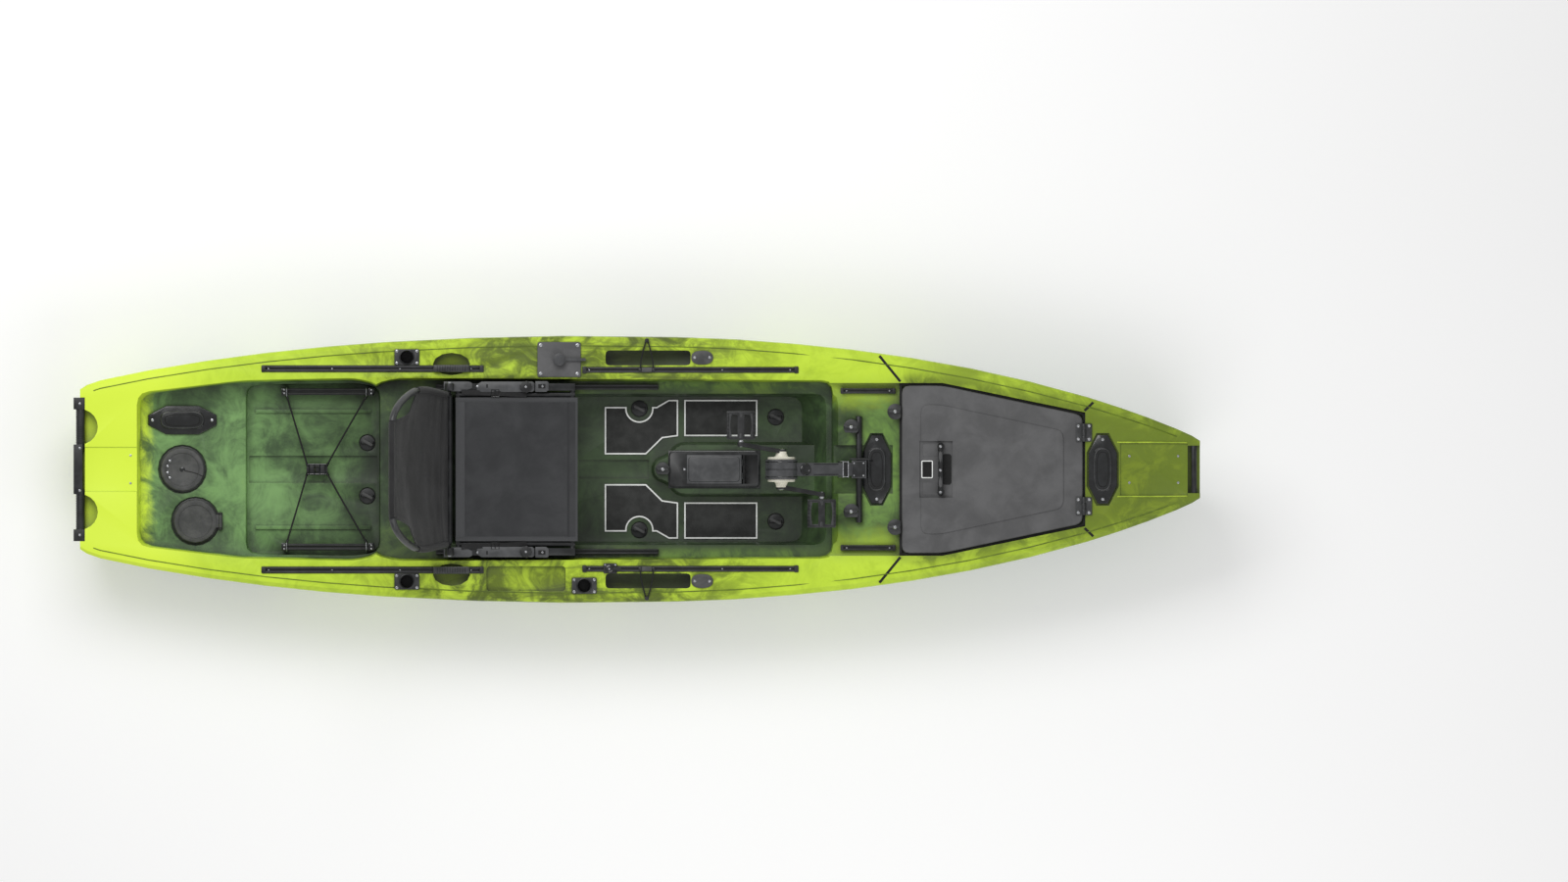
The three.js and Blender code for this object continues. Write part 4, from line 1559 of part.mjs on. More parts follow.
const turnedRound = (profile, x, z, sides) => {
  const points = profile.map(([radius, height]) => new THREE.Vector2(radius, height));
  const lathe = new THREE.LatheGeometry(points, sides);
  return solidOf(lathe.rotateX(Math.PI / 2).translate(x, 0, z));
};
const caseTop = KNUCKLE_HEIGHT + GEARCASE_HALF_LENGTH;
const hubLow = caseTop + SEAT_GAP;
function driveLeg() {
  const half = LEG_HALF_WIDTH - KNUCKLE_CHEEK - SEAT_GAP;
  const eye = slab(disc(LEG_X, KNUCKLE_HEIGHT, KNUCKLE_RADIUS - SEAT_GAP * 2, HUB_SIDES), -half, half);
  const strutRing = (x, up) => across(
    STRUT_SECTION_SHARES.map(([out, high]) => [out * half, KNUCKLE_HEIGHT + high * up]), x);
  const strut = loft([
    strutRing(pocketX, LEG_STRUT_HEIGHT * STRUT_TIP_SHARE), strutRing(LEG_X, LEG_STRUT_HEIGHT / 2),
  ]);
  const profile = GEARCASE_SHARES.map(([out, up]) => [out * GEARCASE_RADIUS, up * GEARCASE_HALF_LENGTH]);
  const gearcase = turnedRound(profile, pocketX, KNUCKLE_HEIGHT, HUB_SIDES);
  const shaftEdge = disc(pocketX, 0, KNUCKLE_PIN_RADIUS, SMALL_SIDES);
  const shaft = plate(shaftEdge, KNUCKLE_HEIGHT, hubLow + PROP_HUB_LENGTH - SEAT_GAP);
  const bore = knucklePin(KNUCKLE_PIN_RADIUS + SEAT_GAP, LEG_HALF_WIDTH * 2);
  return joined([eye, strut, gearcase, shaft]).subtract(bore);
}
show("drive_leg", driveLeg(), BLACK_PLASTIC, 0.4);
function propeller() {
  const hub = plate(disc(pocketX, 0, PROP_HUB_RADIUS, HUB_SIDES), hubLow, hubLow + PROP_HUB_LENGTH);
  const centre = hubLow + PROP_HUB_LENGTH / 2;
  const blades = [0, Math.PI].map((turn) => {
    const rings = PROP_BLADE_SHARES.map(([along, chord, pitch]) => {
      const reach = along * PROP_RADIUS;
      const angle = THREE.MathUtils.degToRad(PROP_PITCH_DEGREES * pitch);
      const wide = (chord * PROP_BLADE_CHORD) / 2;
      const thick = PROP_BLADE_THICKNESS / 2;
      const section = [[-wide, 0], [0, -thick], [wide, 0], [0, thick]];
      return section.map(([out, up]) => new THREE.Vector3(reach, out, up)
        .applyAxisAngle(new THREE.Vector3(1, 0, 0), angle)
        .applyAxisAngle(new THREE.Vector3(0, 0, 1), turn)
        .add(new THREE.Vector3(pocketX, 0, centre)));
    });
    return loft(rings);
  });
  const boreEdge = disc(pocketX, 0, KNUCKLE_PIN_RADIUS + SEAT_GAP, SMALL_SIDES);
  const bore = plate(boreEdge, hubLow - SEAT_GAP, hubLow + PROP_HUB_LENGTH + SEAT_GAP);
  return joined([hub, ...blades]).subtract(bore);
}
show("propeller", propeller(), BLACK_PLASTIC, 0.4);

export default kayak;
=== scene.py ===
import bpy, bmesh, json, math
from mathutils import Vector, Matrix, noise


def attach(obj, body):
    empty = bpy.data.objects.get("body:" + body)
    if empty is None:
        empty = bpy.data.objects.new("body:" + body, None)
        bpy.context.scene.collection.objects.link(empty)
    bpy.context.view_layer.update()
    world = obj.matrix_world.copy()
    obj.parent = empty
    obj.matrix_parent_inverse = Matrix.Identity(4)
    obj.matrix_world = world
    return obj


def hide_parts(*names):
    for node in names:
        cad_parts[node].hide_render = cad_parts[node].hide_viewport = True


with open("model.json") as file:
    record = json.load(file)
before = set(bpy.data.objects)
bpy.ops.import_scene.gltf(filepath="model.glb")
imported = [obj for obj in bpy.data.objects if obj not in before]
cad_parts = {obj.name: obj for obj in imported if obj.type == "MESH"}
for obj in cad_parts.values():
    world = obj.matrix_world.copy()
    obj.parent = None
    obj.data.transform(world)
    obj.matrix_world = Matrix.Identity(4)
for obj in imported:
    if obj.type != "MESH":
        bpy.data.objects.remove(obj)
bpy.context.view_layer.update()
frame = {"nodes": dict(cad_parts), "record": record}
scene = bpy.context.scene
scene.view_settings.view_transform = "Standard"
BODY_OF = {node: body for body, nodes in frame["record"]["behaviour"]["bodies"].items() for node in nodes}
SLOT_OF = {entry["node"]: entry["material_slot"] for entry in frame["record"]["subparts"]}
SIDES = (("port", 1), ("starboard", -1))

# Shared measures, in metres. The deck is level aft of SHEER_X and rises ahead of it
SHEER_X, SHEER_Z, SHEER_SLOPE = 0.615, 0.312, 0.073 / 1.29
DECK = Matrix.Translation((SHEER_X, 0, SHEER_Z)) @ Matrix.Rotation(-math.atan(SHEER_SLOPE), 4, "Y")
AFT_TRACK_Y, FORE_TRACK_Y, TANK_TRACK_Y, SEAT_RAIL_Y = 0.3405, 0.3365, 0.2635, 0.279
HATCH_CENTER, HATCH_SIDE = (-1.54, 0.0), (-1.496, -0.176)

# The hull's colours from 0 to 255, a light and a dark one where it is mottled
TONES = {
    "lime": ((204, 236, 58), (184, 216, 46)), "well": ((124, 166, 100), (66, 92, 56)),
    "forest": ((62, 84, 50), (34, 46, 30)), "olive": ((140, 160, 28), (66, 78, 14)),
    "smoky": ((158, 184, 34), (78, 94, 14)), "recess": ((122, 142, 22), (58, 68, 14)),
    "fore": ((112, 150, 62), (56, 76, 40)), "wall": ((132, 172, 62), (74, 104, 44)),
}
# The middle colour here is the painted highlight on the hull's eased edges
STERN_LIME, HIGHLIGHT_LIME, SIDE_GREEN = (226, 253, 66), (214, 240, 128), (74, 106, 48)
LID_OLIVE, BOW_OLIVE, STREAK_OLIVE = (88, 106, 18), (120, 142, 24), (84, 98, 30)


def linear(colour):
    return tuple(((c / 255 + 0.055) / 1.055) ** 2.4 if c > 10 else c / 255 / 12.92 for c in colour) + (1.0,)


# Materials
class Nodes:
    def __init__(self, name, roughness=0.5, metallic=0.0, coat=0.0, sheen=0.0):
        self.mat = bpy.data.materials.new(name)
        self.mat.use_nodes = True
        self.tree = self.mat.node_tree
        self.bsdf = self.tree.nodes["Principled BSDF"]
        for socket, value in (("Roughness", roughness), ("Metallic", metallic),
                              ("Coat Weight", coat), ("Sheen Weight", sheen)):
            self.put(self.bsdf, socket, value)
        self.place = self.new("ShaderNodeTexCoord").outputs["Object"]

    def new(self, kind, **values):
        node = self.tree.nodes.new(kind)
        for key, value in values.items():
            setattr(node, key, value)
        return node

    def put(self, node, socket, value):
        if hasattr(value, "is_linked"):
            self.tree.links.new(value, node.inputs[socket])
        else:
            node.inputs[socket].default_value = value

    def math(self, operation, a, b=0.5):
        node = self.new("ShaderNodeMath", operation=operation)
        self.put(node, 0, a)
        self.put(node, 1, b)
        return node.outputs[0]

    def times(self, first, *others):
        for other in others:
            first = self.math("MULTIPLY", first, other)
        return first

    def stray(self, value, cloud, amount):
        """The value, moved either way by up to half the amount where the noise says so."""
        return self.math("ADD", value, self.times(self.math("SUBTRACT", cloud, 0.5), amount))

    def noise(self, scale, detail=4.0, roughness=0.55, distortion=0.0, place=None):
        node = self.new("ShaderNodeTexNoise")
        for socket, value in (("Vector", place or self.place), ("Scale", scale), ("Detail", detail),
                              ("Roughness", roughness), ("Distortion", distortion)):
            self.put(node, socket, value)
        return node.outputs["Fac"]

    def ramp(self, factor, low, high, to_low=0.0, to_high=1.0, smooth=True):
        node = self.new("ShaderNodeMapRange", interpolation_type="SMOOTHSTEP" if smooth else "LINEAR")
        for socket, value in (("Value", factor), ("From Min", low), ("From Max", high),
                              ("To Min", to_low), ("To Max", to_high)):
            self.put(node, socket, value)
        return node.outputs["Result"]

    def mix(self, factor, a, b, blend="MIX"):
        node = self.new("ShaderNodeMix", data_type="RGBA", blend_type=blend)
        for socket, value in ((0, factor), (6, a), (7, b)):
            self.put(node, socket, value)
        return node.outputs[2]

    def tones(self, factor, low, high, start, end):
        return self.mix(self.ramp(factor, low, high), linear(start), linear(end))

    def axes(self):
        node = self.new("ShaderNodeSeparateXYZ")
        self.put(node, 0, self.place)
        return node.outputs

    def scaled(self, x, y, z):
        node = self.new("ShaderNodeMapping")
        self.put(node, "Vector", self.place)
        self.put(node, "Scale", (x, y, z))
        return node.outputs[0]

    def bump(self, height, strength, distance):
        node = self.new("ShaderNodeBump")
        for socket, value in (("Height", height), ("Strength", strength), ("Distance", distance)):
            self.put(node, socket, value)
        self.put(self.bsdf, "Normal", node.outputs[0])

    def colour(self, value):
        self.put(self.bsdf, "Base Color", value)

    def rough(self, value):
        self.put(self.bsdf, "Roughness", value)


def hull_material():
    m = Nodes("hull_plastic", roughness=0.42, coat=0.12)
    x, y, z = m.axes()
    out = m.math("ABSOLUTE", y)
    rise = m.times(m.math("MAXIMUM", m.math("SUBTRACT", x, SHEER_X), 0.0), SHEER_SLOPE)
    depth = m.math("SUBTRACT", m.math("ADD", rise, SHEER_Z), z)
    cloud = m.noise(3.2, 6.0, 0.62, 0.6)
    patch = m.noise(9.0, 7.0, 0.68, 1.2)
    grain = m.noise(60.0, 6.0, 0.7)
    mottle = m.math("ADD", m.times(cloud, 0.55), m.times(patch, 0.45))
    lime = m.mix(m.ramp(x, -1.35, -1.66), m.tones(patch, 0.35, 0.7, *TONES["lime"]), linear(STERN_LIME))
    # The wells: lime at the rim, then green, and nearly black green under the seat and round the drive
    well = m.tones(mottle, 0.38, 0.62, *TONES["well"])
    forest = m.tones(mottle, 0.36, 0.64, *TONES["forest"])
    forward = m.ramp(m.stray(x, cloud, 0.5), -1.35, -0.72)
    deep = m.mix(m.times(forward, m.ramp(x, 1.0, 0.4, 0.35, 1.0)), well, forest)
    sunk = m.ramp(m.stray(depth, cloud, 0.10), 0.012, 0.085)
    green = m.times(sunk, m.ramp(out, 0.325, 0.305), m.ramp(m.stray(x, patch, 0.08), -1.685, -1.63))
    # The bow deck: olive between lime edges
    olive = m.tones(mottle, 0.38, 0.6, *TONES["olive"])
    bow = m.ramp(m.stray(x, cloud, 0.3), 1.3, 1.52)
    bow_half = m.ramp(x, 1.3, 1.9, 0.30, 0.135, smooth=False)
    bow_inner = m.ramp(m.math("SUBTRACT", m.stray(bow_half, patch, 0.07), out), -0.01, 0.06)
    gunwale = m.mix(m.times(bow, bow_inner), lime, olive)
    lid_half = m.ramp(x, 1.036, 1.51, 0.2834, 0.1832, smooth=False)
    beside_lid = m.times(m.ramp(m.math("SUBTRACT", out, lid_half), 0.055, 0.012), m.ramp(x, 0.84, 0.93),
                         m.ramp(patch, 0.4, 0.6, 0.35, 0.95))
    gunwale = m.mix(beside_lid, gunwale, linear(LID_OLIVE))
    ahead = m.times(m.ramp(x, 0.8, 1.15), m.ramp(mottle, 0.38, 0.6, 0.25, 0.75))
    gunwale = m.mix(ahead, gunwale, linear(BOW_OLIVE))
    # Amidships the lime turns to a smoky olive, darkened by painted shade in the gunwales' recesses
    wander = m.stray(x, cloud, 0.7)
    amid = m.times(m.ramp(wander, -1.1, -0.6), m.ramp(wander, 0.6, 0.12), m.ramp(patch, 0.36, 0.6, 0.3, 0.95))
    gunwale = m.mix(amid, gunwale, m.tones(mottle, 0.4, 0.6, *TONES["smoky"]))
    # Painted shade darkens the gunwales' recesses
    recess = m.times(m.ramp(depth, 0.005, 0.03), m.ramp(depth, 0.14, 0.12), m.ramp(out, 0.295, 0.305),
                     m.ramp(out, 0.425, 0.412), m.ramp(x, -0.75, -0.72), m.ramp(x, 0.24, 0.2))
    gunwale = m.mix(recess, gunwale, m.tones(x, -0.2, -0.13, *TONES["recess"]))
    # Between the cockpit and the bow hatch the middle is green
    fore = m.times(m.ramp(x, 0.5, 0.62), m.ramp(x, 0.935, 0.9), m.ramp(m.stray(out, patch, 0.16), 0.32, 0.17))
    gunwale = m.mix(fore, gunwale, m.tones(mottle, 0.4, 0.6, *TONES["fore"]))
    # Dark streaks along the gunwale amidships, and green patches down the sides
    streak = m.ramp(m.noise(2.2, 7.0, 0.66, 0.8, m.scaled(1.6, 7.0, 7.0)), 0.5, 0.66)
    amidships = m.times(m.ramp(x, -0.75, -0.35), m.ramp(x, 0.5, 0.15))
    gunwale = m.mix(m.times(streak, amidships, 0.8), gunwale, linear(STREAK_OLIVE))
    patches = m.times(m.ramp(mottle, 0.45, 0.6), m.ramp(depth, 0.02, 0.12))
    side = m.mix(patches, gunwale, linear(SIDE_GREEN))
    # The cockpit's upper walls keep some lime
    upper = m.times(m.ramp(m.stray(out, patch, 0.05), 0.25, 0.292), m.ramp(x, -0.3, 0.05),
                    m.ramp(x, 0.62, 0.5, 0.2, 0.85))
    deep = m.mix(upper, deep, m.tones(patch, 0.38, 0.62, *TONES["wall"]))
    # Outer corners get a painted highlight on their eased faces, and hollows get painted shade
    edge_highlight = m.new("ShaderNodeAttribute", attribute_name="edge_highlight").outputs["Fac"]
    painted_highlight = m.times(edge_highlight, 0.4, m.ramp(depth, 0.30, 0.2))
    body = m.mix(painted_highlight, m.mix(green, side, deep), linear(HIGHLIGHT_LIME))
    hollow = m.new("ShaderNodeAmbientOcclusion", samples=6)
    m.put(hollow, "Distance", 0.05)
    m.colour(m.mix(1.0, body, m.ramp(hollow.outputs["AO"], 0.25, 0.85, 0.32, 1.0), "MULTIPLY"))
    m.rough(m.ramp(grain, 0.3, 0.7, 0.36, 0.5))
    m.bump(m.math("ADD", m.times(grain, 0.6), m.times(m.noise(420.0, 3.0, 0.6), 0.4)), 0.22, 0.0006)
    return m.mat


def plastic(name, light, dark, roughness=0.5, grain=900.0, strength=0.25, scale=24.0, coat=0.0):
    m = Nodes(name, roughness=roughness, coat=coat)
    wear = m.noise(scale, 6.0, 0.6, 0.3)
    m.colour(m.tones(wear, 0.35, 0.7, dark, light))
    m.rough(m.ramp(wear, 0.3, 0.75, roughness - 0.07, roughness + 0.1))
    m.bump(m.noise(grain, 3.0, 0.6), strength, 0.0004)
    return m.mat


def metal(name, light, dark, roughness):
    m = Nodes(name, roughness=roughness, metallic=1.0)
    wear = m.noise(160.0, 4.0, 0.6)
    m.colour(m.tones(wear, 0.3, 0.7, dark, light))
    m.rough(m.ramp(wear, 0.3, 0.7, roughness - 0.06, roughness + 0.08))
    m.bump(m.noise(1500.0, 2.0), 0.1, 0.0002)
    return m.mat


def weave(name, light, dark, pitch=0.0022, bands=()):
    """Woven cloth. Each band is an axis, where it starts and ends along it, and its colour."""
    m = Nodes(name, roughness=0.85, sheen=0.15)
    x, y, z = m.axes()
    rate = 2 * math.pi / pitch
    along = m.math("SINE", m.times(m.math("ADD", x, z), rate))
    cell = m.times(along, m.math("SINE", m.times(y, rate)))
    base = m.tones(m.noise(7.0, 5.0, 0.6, 0.4), 0.35, 0.68, dark, light)
    for axis, low, high, tone in bands:
        place = x if axis == "X" else m.math("ABSOLUTE", y)
        inside = m.times(m.ramp(place, low - 0.001, low + 0.001), m.ramp(place, high + 0.001, high - 0.001))
        base = m.mix(inside, base, linear(tone))
    m.colour(m.mix(m.ramp(cell, -0.2, 0.8, 0.0, 0.45), base, linear(tuple(c * 0.45 for c in dark))))
    m.bump(cell, 0.5, 0.0005)
    return m.mat


def foam(name, light, dark, pitch):
    """Foam with a tread of crossed grooves."""
    m = Nodes(name, roughness=0.8, sheen=0.1)
    x, y, _ = m.axes()
    grooves = [m.math("SINE", m.times(m.math(way, x, y), 2 * math.pi / pitch)) for way in ("ADD", "SUBTRACT")]
    m.colour(m.tones(m.noise(30.0, 5.0), 0.3, 0.7, dark, light))
    m.bump(m.ramp(m.math("MAXIMUM", *grooves), 0.2, 0.9), 0.5, 0.0006)
    return m.mat


HULL = hull_material()
BLACK = plastic("black_plastic", (44, 45, 46), (24, 25, 26), 0.42)
GLOSS = plastic("gloss_black", (30, 32, 34), (16, 17, 18), 0.2, grain=500.0, strength=0.06, coat=0.4)
LID = plastic("grey_plastic", (98, 98, 99), (80, 80, 81), 0.62, grain=1400.0, strength=0.5, scale=10.0)
LID_ROUND = plastic("round_lid_plastic", (84, 84, 84), (62, 63, 63), 0.5, grain=1200.0, strength=0.35)
COATED = plastic("coated_tube", (40, 41, 43), (26, 27, 28), 0.36, grain=1400.0, strength=0.12)
TRIM = plastic("light_trim", (250, 251, 249), (232, 234, 231), 0.5)
CREAM = plastic("cream_collar", (244, 241, 226), (224, 221, 204), 0.3)
SCREW = metal("screw_steel", (226, 227, 230), (178, 180, 184), 0.22)
ALLOY = metal("bright_alloy", (196, 198, 202), (140, 142, 146), 0.3)
CORD = plastic("braided_cord", (36, 36, 37), (16, 16, 17), 0.8, grain=2600.0, strength=0.9, scale=700.0)
# Painted light in the seat cloth's bands: a painted shadow in the fold at the front seam, and painted
# highlights on the hems rolled over the tubes at the back, front and sides
CLOTH = weave("seat_mesh", (64, 65, 67), (50, 51, 53), bands=(
    ("X", -0.6105, -0.5815, (78, 79, 81)), ("X", -0.2345, -0.2265, (48, 49, 51)),
    ("X", -0.2065, -0.198, (72, 73, 75)), ("Y", 0.2275, 0.244, (74, 75, 77))))
BACK_CLOTH = weave("back_mesh", (42, 42, 43), (24, 24, 25))
FOAM = foam("pad_foam", (54, 55, 54), (38, 39, 38), pitch=0.008)
DRIVE = plastic("drive_grey", (82, 83, 85), (66, 67, 69), 0.36, grain=1600.0, strength=0.2, coat=0.1)
PLATE = plastic("plate_grey", (84, 85, 87), (66, 67, 69), 0.42, grain=1600.0, strength=0.2)
FITTING = plastic("fitting_grey", (66, 67, 68), (48, 49, 50), 0.4, grain=1500.0, strength=0.2)
WEBBING = weave("webbing", (38, 38, 39), (20, 20, 21), 0.0016)
THREAD = plastic("thread", (78, 78, 80), (56, 56, 58), 0.7)
# Near black, for black parts and for painted shade in the lid's gap, the deck's channels and inside the port
# rims
BLACK_AND_SHADE = plastic("black_and_shade", (16, 17, 17), (8, 8, 8), 0.75)
RIDGE = plastic("ridge_lime", (186, 210, 58), (150, 174, 40), 0.45)
STEP_SHADE = plastic("lip_shade", (118, 142, 22), (84, 102, 16), 0.5)
MATERIAL_OF = {
    "hull_plastic": HULL, "black_plastic": BLACK, "grey_plastic": LID, "bare_metal": COATED,
    "seat_cloth": CLOTH, "cord": CORD, "foam_pad": FOAM,
}
# The record's slot for each finish of the added pieces, where it isn't black plastic
SLOT_FOR = {look: slot for slot, looks in (
    ("bare_metal", (SCREW, ALLOY, COATED, PLATE)), ("seat_cloth", (CLOTH, BACK_CLOTH, WEBBING, THREAD)),
    ("cord", (CORD,)), ("grey_plastic", (LID,)), ("hull_plastic", (RIDGE, STEP_SHADE))) for look in looks}

# Making pieces
EDGE_ANGLE = math.radians(32)
MERGE_DISTANCE, FLAT_ANGLE = 1e-5, math.radians(0.6)


def add(name, mesh, material, body):
    obj = bpy.data.objects.new(name, mesh)
    scene.collection.objects.link(obj)
    mesh.materials.clear()
    mesh.materials.append(material)
    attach(obj, body)
    return obj


def finish_edges(obj, width, segments, smooth):
    """Ease the sharp edges by the width, mark those faces for the hull's painted edge highlight, and smooth the
    rest.
    """
    material = obj.data.materials[0]
    if width:
        bevel = obj.modifiers.new("edges", "BEVEL")
        bevel.width = width
        bevel.segments = segments
        bevel.limit_method = "ANGLE"
        bevel.angle_limit = EDGE_ANGLE
        # Eased edges get the second material for now, to tell them from the faces
        obj.data.materials.append(material)
        bevel.material = 1
    graph = bpy.context.evaluated_depsgraph_get()
    mesh = bpy.data.meshes.new_from_object(obj.evaluated_get(graph))
    obj.modifiers.clear()
    obj.data = mesh
    if width:
        eased = [0] * len(mesh.polygons)
        mesh.polygons.foreach_get("material_index", eased)
        # The eased faces are marked for the hull's painted edge highlight
        mesh.attributes.new("edge_highlight", "FLOAT", "FACE").data.foreach_set("value", [float(k) for k in eased])
        mesh.polygons.foreach_set("material_index", [0] * len(eased))
        mesh.materials.clear()
        mesh.materials.append(material)
    mesh.shade_smooth()
    mesh.set_sharp_from_angle(angle=math.radians(smooth))
    return obj


def dressed(node, material, width, segments):
    """A look for a CAD node: its own form with eased edges."""
    mesh = frame["nodes"][node].data.copy()
    work = bmesh.new()
    work.from_mesh(mesh)
    bmesh.ops.remove_doubles(work, verts=work.verts, dist=MERGE_DISTANCE)
    bmesh.ops.dissolve_limit(work, angle_limit=FLAT_ANGLE, verts=work.verts, edges=work.edges)
    work.to_mesh(mesh)
    work.free()
    slot = SLOT_OF[node]
    obj = add(node + ".look", mesh, material or MATERIAL_OF[slot], BODY_OF[node])
    finish_edges(obj, width, segments, 35)
    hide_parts(node)


def part(name, shape, material, body="hull", slot=None, edge=0.0, smooth=35):
    verts, faces = shape
    slot = slot or SLOT_FOR.get(material, "black_plastic")
    mesh = bpy.data.meshes.new("piece")
    mesh.from_pydata([tuple(v) for v in verts], [], faces)
    mesh.update()
    return finish_edges(add(name, mesh, material, body), edge, 2, smooth)


# Places
def at(x, y, z):
    return Matrix.Translation((x, y, z))


def on_deck(x, y, lift):
    return DECK @ at(x - SHEER_X, y, lift)


def deck_height(x):
    return SHEER_Z + max(0.0, x - SHEER_X) * SHEER_SLOPE


def four_round(x, y, z, dx, dy):
    return [at(x + i * dx, y + j * dy, z) for i in (-1, 1) for j in (-1, 1)]


# Outlines, as lists of x and y
def angles(count):
    return [2 * math.pi * k / count for k in range(count)]


def box(x0, x1, y0, y1):
    return [(x0, y0), (x1, y0), (x1, y1), (x0, y1)]


def rounded_box(x0, x1, y0, y1, radius):
    corners = [(x1 - radius, y1 - radius, 0), (x0 + radius, y1 - radius, 90),
               (x0 + radius, y0 + radius, 180), (x1 - radius, y0 + radius, 270)]
    turns = [(cx, cy, math.radians(start + step)) for cx, cy, start in corners for step in range(0, 91, 18)]
    return [(cx + radius * math.cos(a), cy + radius * math.sin(a)) for cx, cy, a in turns]


def rounded_at(x, y, half_x, half_y, radius):
    return rounded_box(x - half_x, x + half_x, y - half_y, y + half_y, radius)


def oval(x, y, half_x, half_y, power_x, power_y, count):
    """A squared-off ellipse. The lower the powers, the squarer it is."""
    return [(x + half_x * math.copysign(abs(math.cos(a)) ** power_x, math.cos(a)),
             y + half_y * math.copysign(abs(math.sin(a)) ** power_y, math.sin(a))) for a in angles(count)]


def level_ring(x, y, z, radius, count):
    return [Vector((x + radius * math.cos(a), y + radius * math.sin(a), z)) for a in angles(count)]


def upright_ring(x, y, z, radius, count):
    return [Vector((x + radius * math.cos(a), y, z + radius * math.sin(a))) for a in angles(count)]


# Shapes, as lists of points and faces
def combined(parts):
    verts, faces = [], []
    for v, f in parts:
        base = len(verts)
        verts += v
        faces += [tuple(i + base for i in face) for face in f]
    return verts, faces


def turned(profile, place=Matrix.Identity(4), sides=32):
    """A revolved form: profile lists radius and height in millimetres, from the bottom to the top."""
    verts, faces, rings = [], [], []
    for radius, height in profile:
        if not radius:
            rings.append([len(verts)])
            verts.append(place @ Vector((0, 0, height / 1000)))
        else:
            rings.append(list(range(len(verts), len(verts) + sides)))
            verts += [place @ v for v in level_ring(0, 0, height / 1000, radius / 1000, sides)]
    for low, high in zip(rings, rings[1:]):
        for k in range(sides):
            n = (k + 1) % sides
            if len(low) == 1:
                faces.append((low[0], high[n], high[k]))
            elif len(high) == 1:
                faces.append((low[k], low[n], high[0]))
            else:
                faces.append((low[k], low[n], high[n], high[k]))
    return verts, faces


def prism(outline, low, high, place=Matrix.Identity(4)):
    count = len(outline)
    verts = [place @ Vector((x, y, z)) for z in (low, high) for x, y in outline]
    faces = [tuple(range(count))[::-1], tuple(range(count, 2 * count))]
    faces += [(k, (k + 1) % count, (k + 1) % count + count, k + count) for k in range(count)]
    return verts, faces


def tube(points, radius, sides=10, closed=False):
    points = [Vector(p) for p in points]
    verts, faces = [], []
    count = len(points)
    side = None
    for i, point in enumerate(points):
        before = points[i - 1] if i or closed else point
        after = points[(i + 1) % count] if i + 1 < count or closed else point
        along = (after - before).normalized()
        if side is None:
            side = along.orthogonal().normalized()
        side = (side - along * side.dot(along)).normalized()
        other = along.cross(side)
        verts += [point + (side * math.cos(a) + other * math.sin(a)) * radius for a in angles(sides)]
    for i in range(count if closed else count - 1):
        for k in range(sides):
            a, b = i * sides + k, i * sides + (k + 1) % sides
            c, d = (b + sides) % len(verts), (a + sides) % len(verts)
            faces.append((a, b, c, d))
    if not closed:
        faces.append(tuple(range(sides))[::-1])
        faces.append(tuple(range(len(verts) - sides, len(verts))))
    return verts, faces


def spline(rows, k, f):
    """A smooth curve through the rows, at the share f of the way from row k to the next."""
    near = [rows[min(max(k + step, 0), len(rows) - 1)] for step in (-1, 0, 1, 2)]
    return [0.5 * (2 * b + (c - a) * f + (2 * a - 5 * b + 4 * c - d) * f ** 2
                   + (3 * b - a - 3 * c + d) * f ** 3) for a, b, c, d in zip(*near)]


def smooth_line(points, steps=8):
    line = [Vector(spline(points, i, k / steps)) for i in range(len(points) - 1) for k in range(steps)]
    return line + [Vector(points[-1])]


def inset_ring(outline, near, far, low, high):
    """A band along the outline, from near to far inside it and from low to high."""
    count = len(outline)

    def shrink(distance):
        result = []
        for k in range(count):
            a, b, c = Vector(outline[k - 1]), Vector(outline[k]), Vector(outline[(k + 1) % count])
            first, second = (b - a).normalized(), (c - b).normalized()
            n1, n2 = Vector((-first.y, first.x)), Vector((-second.y, second.x))
            result.append(b + (n1 + n2) * (distance / max(0.2, 1 + n1.dot(n2))))
        return result

    outer, inner = shrink(near), shrink(far)
    verts = [Vector((p.x, p.y, z)) for ring, z in ((outer, low), (outer, high), (inner, high), (inner, low))
             for p in ring]
    faces = []
    for level in range(4):
        a, b = level * count, ((level + 1) % 4) * count
        faces += [(a + k, a + (k + 1) % count, b + (k + 1) % count, b + k) for k in range(count)]
    return verts, faces


def slab_over(points, thick):
    """A slab of even thickness over a grid of points."""
    rows, columns = len(points), len(points[0])

    def normal(i, j):
        along = points[min(i + 1, rows - 1)][j] - points[max(i - 1, 0)][j]
        beside = points[i][min(j + 1, columns - 1)] - points[i][max(j - 1, 0)]
        return along.cross(beside).normalized()

    normals = [[normal(i, j) for j in range(columns)] for i in range(rows)]
    verts = [points[i][j] + normals[i][j] * (side * thick / 2)
             for side in (1, -1) for i in range(rows) for j in range(columns)]
    layer = rows * columns
    faces = []
    for i in range(rows - 1):
        for j in range(columns - 1):
            a = i * columns + j
            faces.append((a, a + columns, a + columns + 1, a + 1))
            faces.append((layer + a, layer + a + 1, layer + a + columns + 1, layer + a + columns))
    rim = list(range(columns)) + [i * columns + columns - 1 for i in range(1, rows)]
    rim += [(rows - 1) * columns + j for j in range(columns - 2, -1, -1)]
    rim += [i * columns for i in range(rows - 2, 0, -1)]
    faces += [(a, b, b + layer, a + layer) for a, b in zip(rim, rim[1:] + rim[:1])]
    return verts, faces


def hump(t):
    return max(0.0, math.sin(math.pi * t))


def bell(value, centre, width):
    return math.exp(-((value - centre) / width) ** 2)


# Pieces that come in many places
def screws(name, places, radius, body="hull"):
    """Button heads with a recess, of a radius in millimetres, one on the XY plane of each place."""
    head = ((1, 0.14), (0.85, 0.32), (0.5, 0.4), (0.32, 0.4), (0.26, 0.14), (0, 0.12))
    profile = [(0, -0.4), (radius, -0.4)] + [(radius * across, radius * up) for across, up in head]
    heads = [turned(profile, place, 16) for place in places]
    return part(name, combined(heads), SCREW, body, smooth=30)


